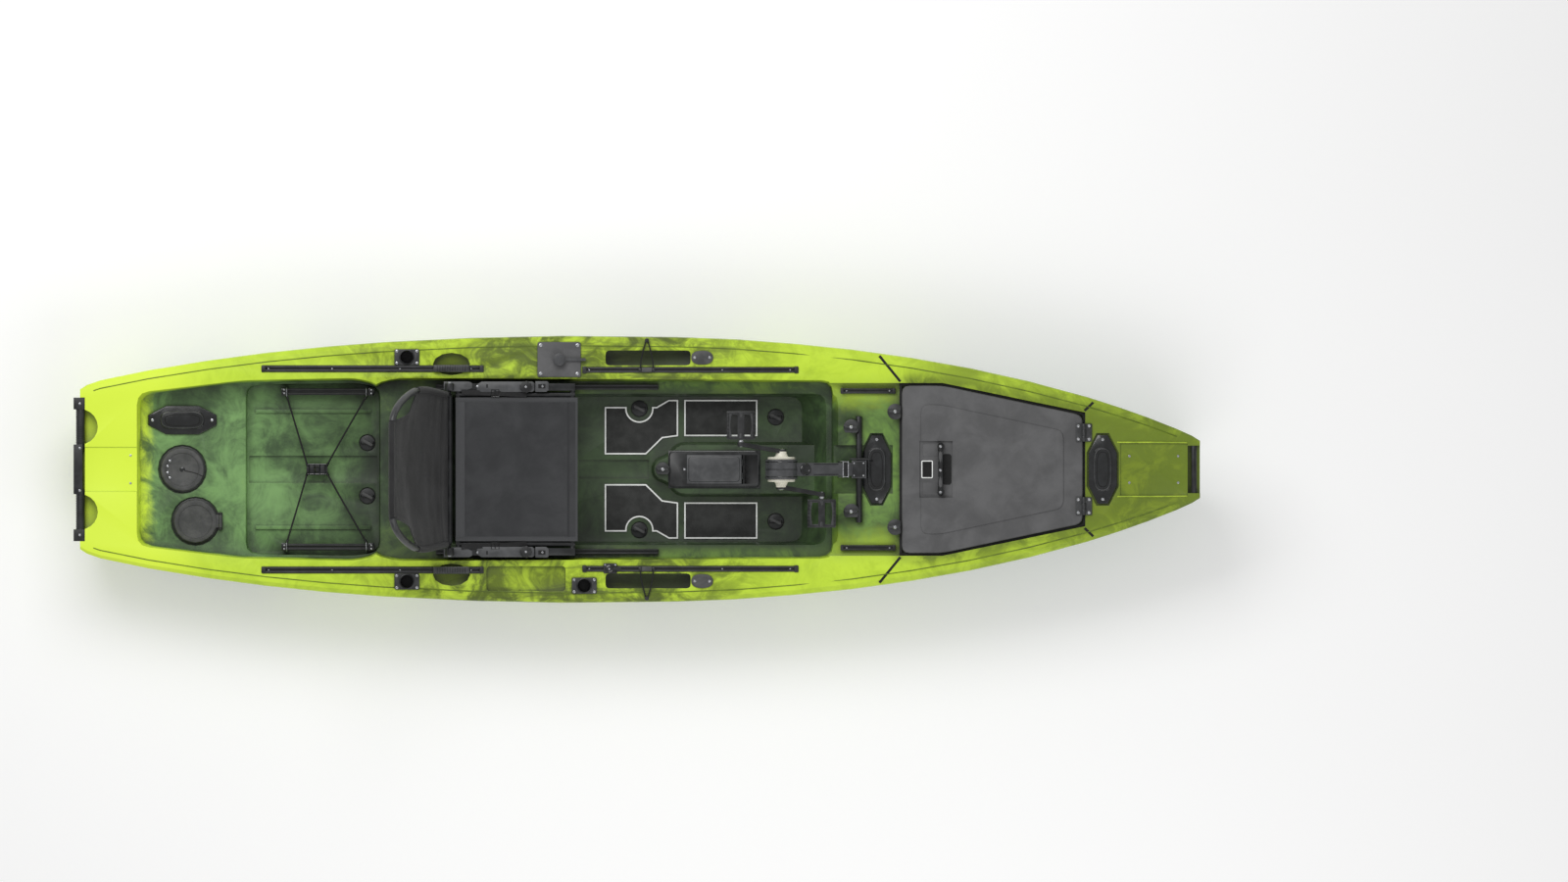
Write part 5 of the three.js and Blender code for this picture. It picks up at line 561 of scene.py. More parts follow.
def stitches(name, spots):
    """Thread along a line of evenly spaced points, one stitch between each pair."""
    lift = Vector((0, 0, 0.0002))
    threads = [tube([a, a.lerp(b, 0.25) + lift, a.lerp(b, 0.75) + lift, b], 0.00045, 5)
               for a, b in zip(spots[::2], spots[1::2])]
    return part(name, combined(threads), THREAD, "seat")


def deck_ring(name, outline, near, far, low, high, material, body="hull"):
    verts, faces = inset_ring([(x - SHEER_X, y) for x, y in outline], near, far, low, high)
    return part(name, ([DECK @ v for v in verts], faces), material, body, smooth=20)


def deck_prism(outline, low, high):
    return prism([(x - SHEER_X, y) for x, y in outline], low, high, DECK)


# CAD nodes that keep their form: finish, bevel width, bevel steps and the nodes that have them
FINISHES = (
    (HULL, 0.0035, 3, "hull"), (LID, 0.002, 3, "bow_hatch_lid"), (LID, 0.0012, 2, "steering_plate"),
    (LID_ROUND, 0.0012, 3, "hatch_lid_center hatch_lid_side"), (PLATE, 0.001, 2, "console_lid"),
    (FITTING, 0.001, 2, "hinge_port_fixed_leaf hinge_port_lid_leaf hinge_starboard_fixed_leaf"
     " hinge_starboard_lid_leaf hatch_latch_port hatch_latch_starboard tray_latch drive_clamp_port"
     " drive_clamp_starboard rod_holder_aft_port rod_holder_aft_starboard rod_holder_middle_starboard"),
    (GLOSS, 0.0016, 3, "access_port_aft access_port_fore access_port_bow"),
    (DRIVE, 0.0012, 2, "steering_lever"), (DRIVE, 0.0025, 3, "drive_head"), (BLACK, 0.001, 2, "console_tray"),
    (BLACK, 0.0015, 2, "drive_leg crank_set"), (BLACK, 0.0008, 2, "propeller"),
    (COATED, 0.0012, 2, "seat_base_frame"), (COATED, 0.0, 2, "backrest_frame"),
)
FINISH_OF = {node: finish[:3] for finish in FINISHES for node in finish[3].split()}
for node in frame["nodes"]:
    if node not in ("seat_fabric", "backrest_fabric", "tankwell_bungee"):
        dressed(node, *FINISH_OF.get(node, (None, 0.001, 2)))

# Screws, rims and lips of the fittings
PORTS = {"aft": (at(-1.54, 0.16685, 0.2224), 0), "fore": (on_deck(0.811, 0, -0.0416), 90),
         "bow": (on_deck(1.578, 0, 0.0004), 90)}
for name, (place, degrees) in PORTS.items():
    turn = place @ Matrix.Rotation(math.radians(degrees), 4, "Z")
    screws(f"port_screws_{name}", [turn @ at(x, 0, 0) for x in (-0.101, 0.101)], 5.5)
    rim = oval(0, 0, 0.070, 0.0275, 0.55, 0.75, 56)
    # The raised rim is grey, a painted highlight on the ports' black gloss
    part(f"port_rim_{name}", tube([turn @ Vector((x, y, 0.0052)) for x, y in rim], 0.0024, 8, True), FITTING)
    # A black ring just inside the rim is painted shade
    bead = [turn @ Vector((x * 0.84, y * 0.7, 0.005)) for x, y in rim]
    part(f"port_bead_{name}", tube(bead, 0.0012, 8, True), BLACK_AND_SHADE)

ROD_PLATE_TOP = 0.3174
ROD_LIP = [(21.2, -20), (21.4, 0), (23.6, 2.2), (26.2, 1.2), (26.8, -1)]
for name, x, y in (("aft_port", -0.777, 0.3795), ("aft_starboard", -0.777, -0.3795),
                   ("middle_starboard", -0.177, -0.3935)):
    screws(f"rod_holder_screws_{name}", four_round(x, y, ROD_PLATE_TOP, 0.034, 0.02), 5.2)
    part(f"rod_holder_lip_{name}", turned(ROD_LIP, at(x, y, ROD_PLATE_TOP), 40), BLACK)

STEERING_X, STEERING_Y = -0.262, 0.3715
screws("steering_screws", four_round(STEERING_X, STEERING_Y, 0.3184, 0.062, 0.048), 6.8)
screws("bow_panel_screws", [on_deck(x, y, -0.004) for x in (1.668, 1.833) for y in (-0.045, 0.045)], 4.5)
screws("stern_panel_screws", [at(-1.712, y, 0.308) for y in (0.047, -0.047)], 4.2)
HINGE_X, HINGE_Y, TRACK_SCREW_Z = 1.514, 0.1242, 0.3085
for side, sign in SIDES:
    rows = [sign * HINGE_Y + dy for dy in (-0.022, 0.022)]
    screws(f"hinge_screws_fixed_{side}", [on_deck(HINGE_X + 0.018, y, 0.0046) for y in rows], 5.6)
    screws(f"hinge_screws_lid_{side}", [on_deck(HINGE_X - 0.0185, y, 0.0034) for y in rows], 5.6, "bow_lid")
    for name, track_y, xs in (("aft", AFT_TRACK_Y, (-1.245, -1.03, -0.8, -0.56)),
                              ("fore", FORE_TRACK_Y, (-0.16, 0.06, 0.29, 0.52))):
        screws(f"{name}_track_screws_{side}", [at(x, sign * track_y, TRACK_SCREW_Z) for x in xs], 3)
    screws(f"bow_track_screws_{side}", [on_deck(x, sign * 0.266, -0.024) for x in (0.71, 0.855)], 3)

# Foot pads: a pale outline on each. The rear ones leave room round a plug of PLUG_ROOM
PLUG_X, PLUG_Y, PLUG_ROOM, PAD_BACK_Y = 0.008, 0.206, 0.044, 0.211
PAD_LOW, PAD_HIGH = 0.1236, 0.1262
start = math.asin((PAD_BACK_Y - PLUG_Y) / PLUG_ROOM)
rear = [(-0.109, 0.051), (0.0305, 0.051), (0.0863, 0.1057), (0.139, 0.113), (0.139, 0.235), (0.108, 0.235),
        (PLUG_X + PLUG_ROOM * math.cos(start) + 0.0147, PAD_BACK_Y)]
for turn in [start - k / 16 * (math.pi + 2 * start) for k in range(17)]:
    rear.append((PLUG_X + PLUG_ROOM * math.cos(turn), PLUG_Y + PLUG_ROOM * math.sin(turn)))
rear.append((-0.109, PAD_BACK_Y))
PADS = {"rear": rear, "fore": box(0.161, 0.408, 0.113, 0.235)}
for side, sign in SIDES:
    for place, outline in PADS.items():
        outline = [(x, sign * y) for x, y in outline[::sign]]
        trim = inset_ring(outline, -0.0006, 0.0042, PAD_LOW, PAD_HIGH)
        part(f"pad_trim_{place}_{side}", trim, TRIM, "hull", "foam_pad", smooth=20)

# Seat sling: taut between the side tubes, with a wide hem at the front and a roll at the back
SEAT_BACK, SEAT_FRONT, SEAT_HALF, SEAT_TOP, SEAT_SAG = -0.612, -0.199, 0.243, 0.3284, 0.0155


def seat_surface(u, v):
    x = SEAT_BACK + u * (SEAT_FRONT - SEAT_BACK)
    y = (2 * v - 1) * SEAT_HALF
    z = SEAT_TOP - SEAT_SAG * hump(u) ** 1.2 * hump(v) ** 0.55
    wrinkle = noise.fractal(Vector((x * 9, y * 5, 0.3)), 0.6, 2.0, 3) * 0.0009
    # Wrinkles run out from each corner and die away
    corner = 0.0
    for cx in (SEAT_BACK, SEAT_FRONT):
        for cy in (-SEAT_HALF, SEAT_HALF):
            ripple = noise.noise(Vector(((x - cx) * 60 + (y - cy) * 26, 1.7, 0.2)))
            corner += 0.0022 * ripple * math.exp(-math.hypot(x - cx, y - cy) / 0.05)
    seams = bell(x, -0.2345, 0.0022) + bell(x, -0.5805, 0.0022) + bell(abs(y), 0.2265, 0.0018)
    roll = 0.0018 * bell(x, -0.598, 0.012) + 0.0012 * bell(x, -0.214, 0.013)
    inside = min(1.0, min(u, 1 - u) * 30, min(v, 1 - v) * 30)
    return Vector((x, y, z + (wrinkle + corner) * inside - 0.0013 * seams + roll))


def seat_line(x0, y0, x1, y1, steps):
    """Points along a straight seam, just above the cloth."""
    line = []
    for k in range(steps + 1):
        x, y = x0 + (x1 - x0) * k / steps, y0 + (y1 - y0) * k / steps
        line.append(seat_surface((x - SEAT_BACK) / (SEAT_FRONT - SEAT_BACK), (y / SEAT_HALF + 1) / 2)
                    + Vector((0, 0, 0.0017)))
    return line


CLOTH_THICK = 0.003
seat_grid = [[seat_surface(i / 132, j / 150) for j in range(151)] for i in range(133)]
seat_sling = part("seat_sling", slab_over(seat_grid, CLOTH_THICK), CLOTH, "seat", smooth=60)
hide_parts("seat_fabric")
SEAMS = {
    "starboard": (-0.606, -0.2305, -0.205, -0.2305, 160), "port": (-0.606, 0.2305, -0.205, 0.2305, 160),
    "front": (-0.2295, -0.236, -0.2295, 0.236, 188), "back": (-0.5855, -0.236, -0.5855, 0.236, 188),
}
seat_threads = [stitches(f"seat_stitches_{name}", seat_line(*seam)) for name, seam in SEAMS.items()]

# Back sling, sewn round its tubes. Rows say how far up and out its side and the tube are, as shares
CLOTH_ROWS = [(0.03, 0.928), (0.06, 0.934), (0.2, 0.954), (0.4, 0.969), (0.56, 0.959), (0.64, 0.86),
              (0.7, 0.74), (0.8, 0.68), (0.94, 0.64), (0.985, 0.63)]
TUBE_ROWS = [(0.0, 0.925), (0.25, 0.975), (0.45, 1.0), (0.62, 0.97), (0.8, 0.87), (0.93, 0.74),
             (0.99, 0.6), (1.0, 0.45), (1.0, 0.15)]
BACK_HALF, BACK_RISE, BACK_LEAN, PIVOT_X, PIVOT_Z = 0.27, 0.390, 0.187, -0.632, 0.352
TILT = Vector((-BACK_LEAN, 0, BACK_RISE)).normalized()


def back_spot(up, y, behind=0.0):
    return Vector((PIVOT_X - BACK_LEAN * up - TILT.z * behind, y, PIVOT_Z + BACK_RISE * up + TILT.x * behind))


def tube_out(up):
    for (low, a), (high, b) in zip(TUBE_ROWS, TUBE_ROWS[1:]):
        if low <= up <= high:
            return a + (b - a) * (up - low) / (high - low)
    return TUBE_ROWS[0][1]


def back_surface(u, v):
    row = min(v, 0.99999) * (len(CLOTH_ROWS) - 1)
    up, out = spline(CLOTH_ROWS, int(row), row - int(row))
    # Up to the corner windows the cloth is sewn round the side tubes
    sewn = min(1.0, max(0.0, (0.62 - up) / 0.07))
    half = sewn * (tube_out(up) * BACK_HALF - 0.0045) + (1 - sewn) * out * (BACK_HALF - 0.0094)
    y = (2 * u - 1) * half
    sag = 0.024 * hump(u) ** 0.8 * hump(v) ** 0.9
    fold = noise.fractal(Vector((y * 4.5, up * 5.5, 2.1)), 0.7, 2.0, 3) * 0.0016
    wave = math.sin(up * 46 + 3 * noise.noise(Vector((y * 3, up * 4, 0))))
    crease = 0.0022 * wave * max(0.0, 0.35 - up) * 1.6
    inside = min(1.0, min(u, 1 - u) * 24, min(v, 1 - v) * 24)
    seams = bell(up, 0.93, 0.006) + bell(up, 0.12, 0.006) + bell(half - abs(y), 0.016, 0.0018)
    return back_spot(up, y, sag + (fold + crease) * inside + 0.0012 * seams)


back_grid = [[back_surface(j / 120, i / 120) for j in range(121)] for i in range(121)]
back_sling = part("back_sling", slab_over(back_grid, CLOTH_THICK), BACK_CLOTH, "backrest", smooth=60)
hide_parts("backrest_fabric")
loop = [back_spot(up, -out * BACK_HALF) for up, out in TUBE_ROWS]
loop += [back_spot(up, out * BACK_HALF) for up, out in reversed(TUBE_ROWS)]
tube_line = smooth_line(loop, 10)


def tube_run(low, high, sign):
    """The points of the backrest's tube between two heights, on one side or, for 0, on both."""
    run = [p for p in tube_line if low <= (p.z - PIVOT_Z) / BACK_RISE <= high]
    return [p for p in run if not sign or p.y * sign > 0]


for name, low, high, sign in (("top", 0.955, 1.2, 0), ("port", 0.05, 0.56, 1), ("starboard", 0.05, 0.56, -1)):
    run = tube_run(low, high, sign)
    radius = 0.0104 + 0.0006 * sum(noise.noise(p * 40) for p in run) / len(run)
    part(f"back_sleeve_{name}", tube(run, radius, 16), BACK_CLOTH, "backrest", smooth=70)
for side, sign in SIDES:
    grip = tube(tube_run(0.6, 0.99, sign), 0.0122, 16)
    part(f"back_corner_grip_{side}", grip, FITTING, "backrest", "foam_pad", smooth=70)

# Side webbing along the seat brackets, with its buckle
WEBBING_LINE = ((-0.592, 0.2615, 0.3372), (-0.575, 0.261, 0.3352), (-0.53, 0.2595, 0.3335),
                (-0.45, 0.256, 0.3325), (-0.372, 0.2515, 0.3325))
WEBBING_ACROSS = (-0.008, -0.004, 0.0, 0.004, 0.008)
for side, sign in SIDES:
    spots = smooth_line([(x, sign * y, z) for x, y, z in WEBBING_LINE], 8)
    grid = [[p + Vector((0, d, 0.0006 * math.sin(i * 0.6 + d * 90))) for d in WEBBING_ACROSS]
            for i, p in enumerate(spots)]
    strap = part(f"seat_webbing_{side}", slab_over(grid, 0.0014), WEBBING, "seat", smooth=60)
    seat_threads.append(strap)
    place = at(-0.478, sign * 0.2575, 0.334)
    loop = [place @ Vector((x, y, 0.0006)) for x, y in box(0.013, -0.013, 0.0115, -0.0115)]
    middle = [place @ Vector((0, y, 0.0012)) for y in (-0.0115, 0.0115)]
    buckle = combined([tube(loop, 0.0017, 8, True), tube(middle, 0.0016, 8)])
    part(f"seat_buckle_{side}", buckle, GLOSS, "seat")

# Seat side plates, hand knobs and pivot bolts. The outlines are in millimetres on the port side
BRACKET_TOP, PLATE_TOP, BLOCK_TOP = 0.3302, 0.3338, 0.3372
SEAT_PLATES = (
    ("seat_rear_plate", BRACKET_TOP, 0.3328, PLATE, 0.0008,
     ((-652, 270), (-640, 264), (-580, 264), (-556, 276), (-556, 292), (-566, 297), (-652, 297))),
    ("seat_side_plate", BRACKET_TOP, PLATE_TOP, PLATE, 0.0008,
     ((-540, 266), (-532, 262), (-352, 262), (-346, 268), (-346, 293), (-352, 297), (-524, 297),
      (-540, 287))),
    ("seat_slide_block", BRACKET_TOP, BLOCK_TOP, PLATE, 0.0008,
     ((-342, 262), (-306, 262), (-297, 268), (-297, 294), (-302, 298), (-342, 298))),
    ("seat_slot_mark", PLATE_TOP, 0.3343, BLACK_AND_SHADE, 0, box(-508, -503, 276, 288)),
    ("seat_slide_mark", BLOCK_TOP, 0.3376, BLACK_AND_SHADE, 0, box(-332, -308, 274, 288)),
)
KNOB_X, KNOB_Y = -0.374, 0.2788
PIVOT_BOLT = [(0, -1), (8.5, -1), (8.5, 2), (6.8, 4.2), (0, 4.6)]


def sideways(x, y, z, sign):
    return at(x, y, z) @ Matrix.Rotation(-sign * math.pi / 2, 4, "X")


for side, sign in SIDES:
    for name, low, high, material, edge, outline in SEAT_PLATES:
        points = [(x / 1000, sign * y / 1000) for x, y in outline[::sign]]
        part(f"{name}_{side}", prism(points, low, high), material, "seat", "bare_metal", edge)
    lobes = [(a, 0.0195 + 0.0017 * math.cos(9 * a)) for a in angles(72)]
    knob = [(KNOB_X + r * math.cos(a), sign * KNOB_Y + r * math.sin(a)) for a, r in lobes]
    part(f"seat_hand_knob_{side}", prism(knob, PLATE_TOP, 0.3445), BLACK, "seat", edge=0.0014)
    spots = ((KNOB_X, KNOB_Y, 0.3444), (-0.538, 0.281, 0.3336), (-0.318, 0.281, 0.3366))
    screws(f"seat_screws_{side}", [at(x, sign * y, z) for x, y, z in spots], 4.2, "seat")
    bolt = turned(PIVOT_BOLT, sideways(PIVOT_X, sign * 0.2912, PIVOT_Z, sign), 24)
    part(f"back_pivot_bolt_{side}", bolt, ALLOY, "seat")

# Bungee over the tank well: four runs from hooks on the tracks to one buckle
BUCKLE_X = -1.0839
HOOK = ((0.2485, 0.2125), (0.2475, 0.2185), (0.2535, 0.2222), (0.265, 0.2227), (0.2755, 0.2215),
        (0.279, 0.216), (0.2765, 0.2095))
strands, ferrules, hooks = [], [], []
for sign in (-1, 1):
    for x, end in ((-1.1863, -1), (-0.9163, 1)):
        near = BUCKLE_X + end * 0.033
        path = smooth_line([(x, sign * 0.2485, 0.2125), ((x * 2 + near) / 3, sign * 0.171, 0.2072),
                            ((x + near * 2) / 3, sign * 0.093, 0.2028), (near, sign * 0.0125, 0.2005)], 10)
        strands.append(tube(path, 0.003, 10))
        for p, q in ((path[0], path[2]), (path[-1], path[-3])):
            ferrules.append(tube([p.lerp(q, share) for share in (-0.2, 0.4, 0.9)], 0.0047, 10))
        bend = smooth_line([(x, y, z) for y, z in HOOK], 4)
        hooks.append(tube([(x, sign * y, z) for _, y, z in bend], 0.0022, 8))
bungee = part("bungee_cords", combined(strands), CORD, smooth=60)
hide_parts("tankwell_bungee")
part("bungee_ferrules", combined(ferrules), GLOSS)
part("bungee_hooks", combined(hooks), ALLOY)
buckle = oval(BUCKLE_X, 0, 0.036, 0.0195, 0.5, 0.5, 48)
part("bungee_buckle", prism(buckle, 0.1955, 0.2035), BLACK, edge=0.0016)
bars = [tube([(BUCKLE_X + dx, y, 0.2048) for y in (-0.017, 0.017)], 0.0026, 8)
        for dx in (-0.027, -0.009, 0.009, 0.027)]
bars += [tube([(BUCKLE_X + dx, y, 0.2045) for dx in (-0.031, 0.031)], 0.0024, 8) for y in (-0.0165, 0.0165)]
bars.append(turned([(0, 203), (9.5, 203), (9.5, 206.8), (7, 209), (0, 209.4)], at(BUCKLE_X, 0, 0), 24))
part("bungee_buckle_bars", combined(bars), GLOSS)

# Tank track caps with their screws
for side, sign in SIDES:
    y = sign * TANK_TRACK_Y
    for end, x in (("aft", -1.1945), ("fore", -0.8995)):
        cap = prism(box(x - 0.0095, x + 0.0095, y - 0.0135, y + 0.0135), 0.2184, 0.2216)
        part(f"tank_track_cap_{end}_{side}", cap, GLOSS, edge=0.0012)
        screws(f"tank_track_screws_{end}_{side}", [at(x, y + dy, 0.2216) for dy in (-0.006, 0.006)], 3.2)

# Ridges beside the bow panel
for side, sign in SIDES:
    run = [on_deck(x, sign * y, lift).translation for x, y, lift in (
        (1.628, 0.0925, -0.0018), (1.64, 0.0915, 0.0005), (1.74, 0.0915, 0.0008), (1.85, 0.0905, 0.0005),
        (1.862, 0.0895, -0.0018))]
    part(f"bow_ridge_{side}", tube(smooth_line(run, 4), 0.0026, 8), RIDGE, smooth=60)

# A dark line of painted shade, as under a shallow step, runs round the deck just inside its outer edge, which
# is read off the hull
widest = {}
for vertex in frame["nodes"]["hull"].data.vertices:
    p = vertex.co
    if abs(p.z - deck_height(p.x)) < 0.004 and p.y > max(0.1, widest.get(round(p.x, 2), (0, 0))[1]):
        widest[round(p.x, 2)] = (p.x, p.y)
edge_line = []
for x, y in sorted(widest.values()):
    while len(edge_line) > 1:
        (x0, y0), (x1, y1) = edge_line[-2:]
        if (y1 - y0) * (x - x0) >= (y - y0) * (x1 - x0):
            break
        edge_line.pop()
    edge_line.append((x, y))
step_line = []
for (x0, y0), (x1, y1) in zip(edge_line, edge_line[1:]):
    steps = max(1, int((x1 - x0) / 0.02))
    step_line += [(x0 + (x1 - x0) * k / steps, y0 + (y1 - y0) * k / steps) for k in range(steps)]
for side, sign in SIDES:
    run = [(x, sign * (y - 0.0165), deck_height(x) + 0.0001) for x, y in step_line if -1.85 < x < 1.85]
    part(f"deck_step_shade_{side}", tube(run, 0.0017, 6), STEP_SHADE, smooth=60)

# Round hatches: screws in an arc, a thin lanyard to the centre lid, and a bead on each
x, y = HATCH_CENTER
spots = [(math.cos(math.radians(a)), math.sin(math.radians(a))) for a in (146, 168, 192, 214)]
screws("center_lid_screws", [at(x + 0.051 * c, y + 0.051 * s, 0.2228) for c, s in spots], 4.4, "center_lid")
lanyard = smooth_line([(-1.5400, 0.0, 0.2212), (-1.53, -0.0045, 0.2222), (-1.505, -0.0105, 0.2208),
                       (-1.486, -0.0165, 0.2218), (-1.4785, -0.0205, 0.2242), (-1.4695, -0.0235, 0.2222),
                       (-1.4667, -0.0245, 0.2165)], 8)
part("center_lid_lanyard", tube(lanyard, 0.0011, 8), CORD, "center_lid")
button = turned([(0, 219.6), (9, 219.6), (9, 220.6), (6.5, 222.2), (0, 222.6)], at(x, y, 0), 32)
part("center_lid_button", button, GLOSS, "center_lid")
for name, (x, y) in (("center", HATCH_CENTER), ("side", HATCH_SIDE)):
    bead = tube(level_ring(x, y, 0.2224, 0.0575, 64), 0.0012, 8, True)
    part(f"{name}_lid_bead", bead, LID_ROUND, f"{name}_lid")

# Bow hatch: a black band of painted shade in the gap, grille, handle and finger pocket
LID_HALF = [(0.898, 0.28335), (1.036, 0.28335), (1.51, 0.1832)]
HANDLE_X, LID_FLOOR = 1.03, -0.0062
lid_edge = [(x, -y) for x, y in LID_HALF] + LID_HALF[::-1]
# The black band in the gap round the lid is painted shade
deck_ring("lid_gap_shade", lid_edge, -0.0086, -0.0006, -0.0296, -0.0105, BLACK_AND_SHADE)
deck_ring("lid_grille_frame", rounded_box(0.964, 1.003, -0.03, 0.03, 0.005), 0.0, 0.0034, LID_FLOOR, -0.0036,
          TRIM, "bow_lid")
bars = [deck_prism(box(x - 0.0009, x + 0.0009, -0.0262, 0.0262), -0.006, -0.0045)
        for x in [0.9695 + 0.0035 * k for k in range(9)]]
part("lid_grille", combined(bars), BLACK_AND_SHADE, "bow_lid")
grille_floor = deck_prism(rounded_box(0.9665, 1.0005, -0.0275, 0.0275, 0.003), LID_FLOOR, -0.0055)
part("lid_grille_floor", grille_floor, BLACK_AND_SHADE, "bow_lid")
pocket = deck_prism(rounded_box(1.036, 1.0655, -0.052, 0.052, 0.009), -0.0063, -0.0052)
part("lid_finger_pocket", pocket, BLACK_AND_SHADE, "bow_lid")
for side, sign in SIDES:
    y0, y1 = sorted((sign * 0.044, sign * 0.086))
    pad = deck_prism(rounded_box(0.969, 1.02, y0, y1, 0.004), -0.0063, -0.0046)
    part(f"lid_handle_pad_{side}", pad, LID, "bow_lid", edge=0.0006)
half = [(-0.078, -0.006), (-0.078, 0.0065), (-0.0705, 0.014), (-0.035, 0.0141)]
bar = half + [(0.0, 0.0142)] + [(-y, lift) for y, lift in reversed(half)]
grip = [DECK @ p for p in smooth_line([(HANDLE_X - SHEER_X, y, lift) for y, lift in bar], 6)]
part("lid_handle_grip", tube(grip, 0.0087, 14), GLOSS, "bow_lid", smooth=60)
BOSS = [(0, -6), (12.5, -6), (12.5, 4), (10.5, 15.5), (7.8, 22.6), (0, 22.8)]
bosses = [turned(BOSS, on_deck(HANDLE_X, y, 0), 24) for y in (-0.0775, 0.0775)]
part("lid_handle_bosses", combined(bosses), GLOSS, "bow_lid")
spots = ((-0.0775, 0.0227), (0.0775, 0.0227), (-0.003, 0.0228))
screws("lid_handle_screws", [on_deck(HANDLE_X, y, lift) for y, lift in spots], 4.8, "bow_lid")
ribs = [tube([on_deck(HANDLE_X + dx, y, 0.0212).translation for y in (-0.062, 0.062)], 0.001, 6)
        for dx in (-0.0035, 0.0035)]
part("lid_handle_ribs", combined(ribs), GLOSS, "bow_lid")

# Black strips of painted shade where the deck's moulded channels run at the lid's corners
CHANNEL_SHADE_HALF = 0.0042
for side, sign in SIDES:
    for name, (x0, y0), (x1, y1) in (("aft", (0.822, 0.384), (0.893, 0.297)),
                                     ("fore", (1.546, 0.2265), (1.5165, 0.1985))):
        a, b = Vector((x0, sign * y0)), Vector((x1, sign * y1))
        out = Vector((-(b - a).y, (b - a).x)).normalized() * CHANNEL_SHADE_HALF
        seam = deck_prism([tuple(p) for p in (a - out, b - out, b + out, a + out)], -0.0006, 0.0009)
        part(f"deck_channel_shade_{name}_{side}", seam, BLACK_AND_SHADE, edge=0.0006)

# Turn latches: a bright screw on each grip
for name, place, body in (
        ("hatch_latch_port", on_deck(0.876, 0.19535, 0.0194), "latch_port"),
        ("hatch_latch_starboard", on_deck(0.876, -0.19535, 0.0194), "latch_starboard"),
        ("drive_clamp_port", on_deck(0.727, 0.143, 0.0118), "clamp_port"),
        ("drive_clamp_starboard", on_deck(0.727, -0.143, 0.0118), "clamp_starboard"),
        ("tray_latch", at(0.088, 0, 0.2018), "tray_latch")):
    screws(f"{name}_screw", [place], 6.2, body)

# Gunwales: oval pads, paddle loops with their cleats, and the cam on the starboard track
PAD_X, PAD_Y, LOOP_X = 0.222, 0.378, 0.035
LOOP_HALF = [(-0.022, 0.336, 0.3165), (-0.019, 0.372, 0.3185), (-0.008, 0.418, 0.3175)]
LOOP = LOOP_HALF + [(0.0, 0.4395, 0.317)] + [(-dx, y, z) for dx, y, z in reversed(LOOP_HALF)]
CLEAT = [(0, 311.6), (6.8, 311.6), (6.8, 313.5), (4.2, 315.5), (4.2, 319), (7.2, 320.8), (6.6, 323.2),
         (0, 324)]
FOOT = [(0, 314.5), (6.8, 314.5), (6.2, 317.8), (4, 319.2), (0, 319.5)]
for side, sign in SIDES:
    pad = oval(PAD_X, sign * PAD_Y, 0.037, 0.0235, 0.8, 0.9, 40)
    part(f"oval_pad_{side}", prism(pad, 0.3118, 0.3162), LID_ROUND, edge=0.0012)
    screws(f"oval_pad_screws_{side}", [at(PAD_X + dx, sign * PAD_Y, 0.3161) for dx in (-0.025, 0.025)], 5.2)
    run = smooth_line([(LOOP_X + dx, sign * y, z) for dx, y, z in LOOP], 8)
    part(f"side_bungee_{side}", tube(run, 0.0021, 8), CORD, smooth=60)
    cleats = [turned(CLEAT, at(LOOP_X, sign * 0.4365, 0), 24)]
    cleats += [turned(FOOT, at(LOOP_X + dx, sign * FORE_TRACK_Y, 0), 20) for dx in (-0.0225, 0.0225)]
    part(f"side_bungee_cleats_{side}", combined(cleats), BLACK)
CAM = [(0, 319.5), (13.5, 319.5), (14.2, 323), (12.8, 329.5), (9, 331.5), (0, 332)]
part("track_cam_base", prism(rounded_box(-0.112, -0.066, -0.352, -0.318, 0.004), 0.3152, 0.3196), BLACK,
     edge=0.0012)
part("track_cam", turned(CAM, at(-0.092, -FORE_TRACK_Y, 0), 28), GLOSS)
part("track_cam_lever", prism(rounded_box(-0.1, -0.05, -0.3405, -0.3325, 0.0035), 0.3245, 0.3285), BLACK,
     edge=0.0012)
spots = ((-0.092, -FORE_TRACK_Y, 0.3318), (-0.106, -0.323, 0.3196), (-0.072, -0.323, 0.3196))
screws("track_cam_screws", [at(*spot) for spot in spots], 3.4)

# Track end caps on the gunwales and the bow
for side, sign in SIDES:
    for name, x, y in (("aft_a", -1.262, AFT_TRACK_Y), ("aft_b", -0.524, AFT_TRACK_Y),
                       ("fore_a", -0.176, FORE_TRACK_Y), ("fore_b", 0.541, FORE_TRACK_Y)):
        cap = prism(rounded_at(x, sign * y, 0.007, 0.0115, 0.003), 0.3118, 0.3158)
        part(f"track_cap_{name}_{side}", cap, BLACK, edge=0.001)
    for name, x in (("a", 0.6945), ("b", 0.8705)):
        cap = deck_prism(rounded_at(x, sign * 0.2653, 0.005, 0.0095, 0.0025), -0.0297, -0.0168)
        part(f"bow_track_cap_{name}_{side}", cap, BLACK, edge=0.0008)

# Carrying handles: their screws and grip ribs
screws("stern_handle_screws", [at(-1.884, y, 0.312) for y in (-0.222, 0.222, -0.072, 0.072)], 4.5)
screws("bow_handle_screws", [on_deck(1.885, y, -0.0035) for y in (-0.073, 0.073)], 4)
for side, sign in SIDES:
    rings = [tube(upright_ring(-1.882, sign * (0.092 + 0.0078 * k), 0.297, 0.01535, 20), 0.0009, 6, True)
             for k in range(15)]
    part(f"stern_grip_ribs_{side}", combined(rings), BLACK)

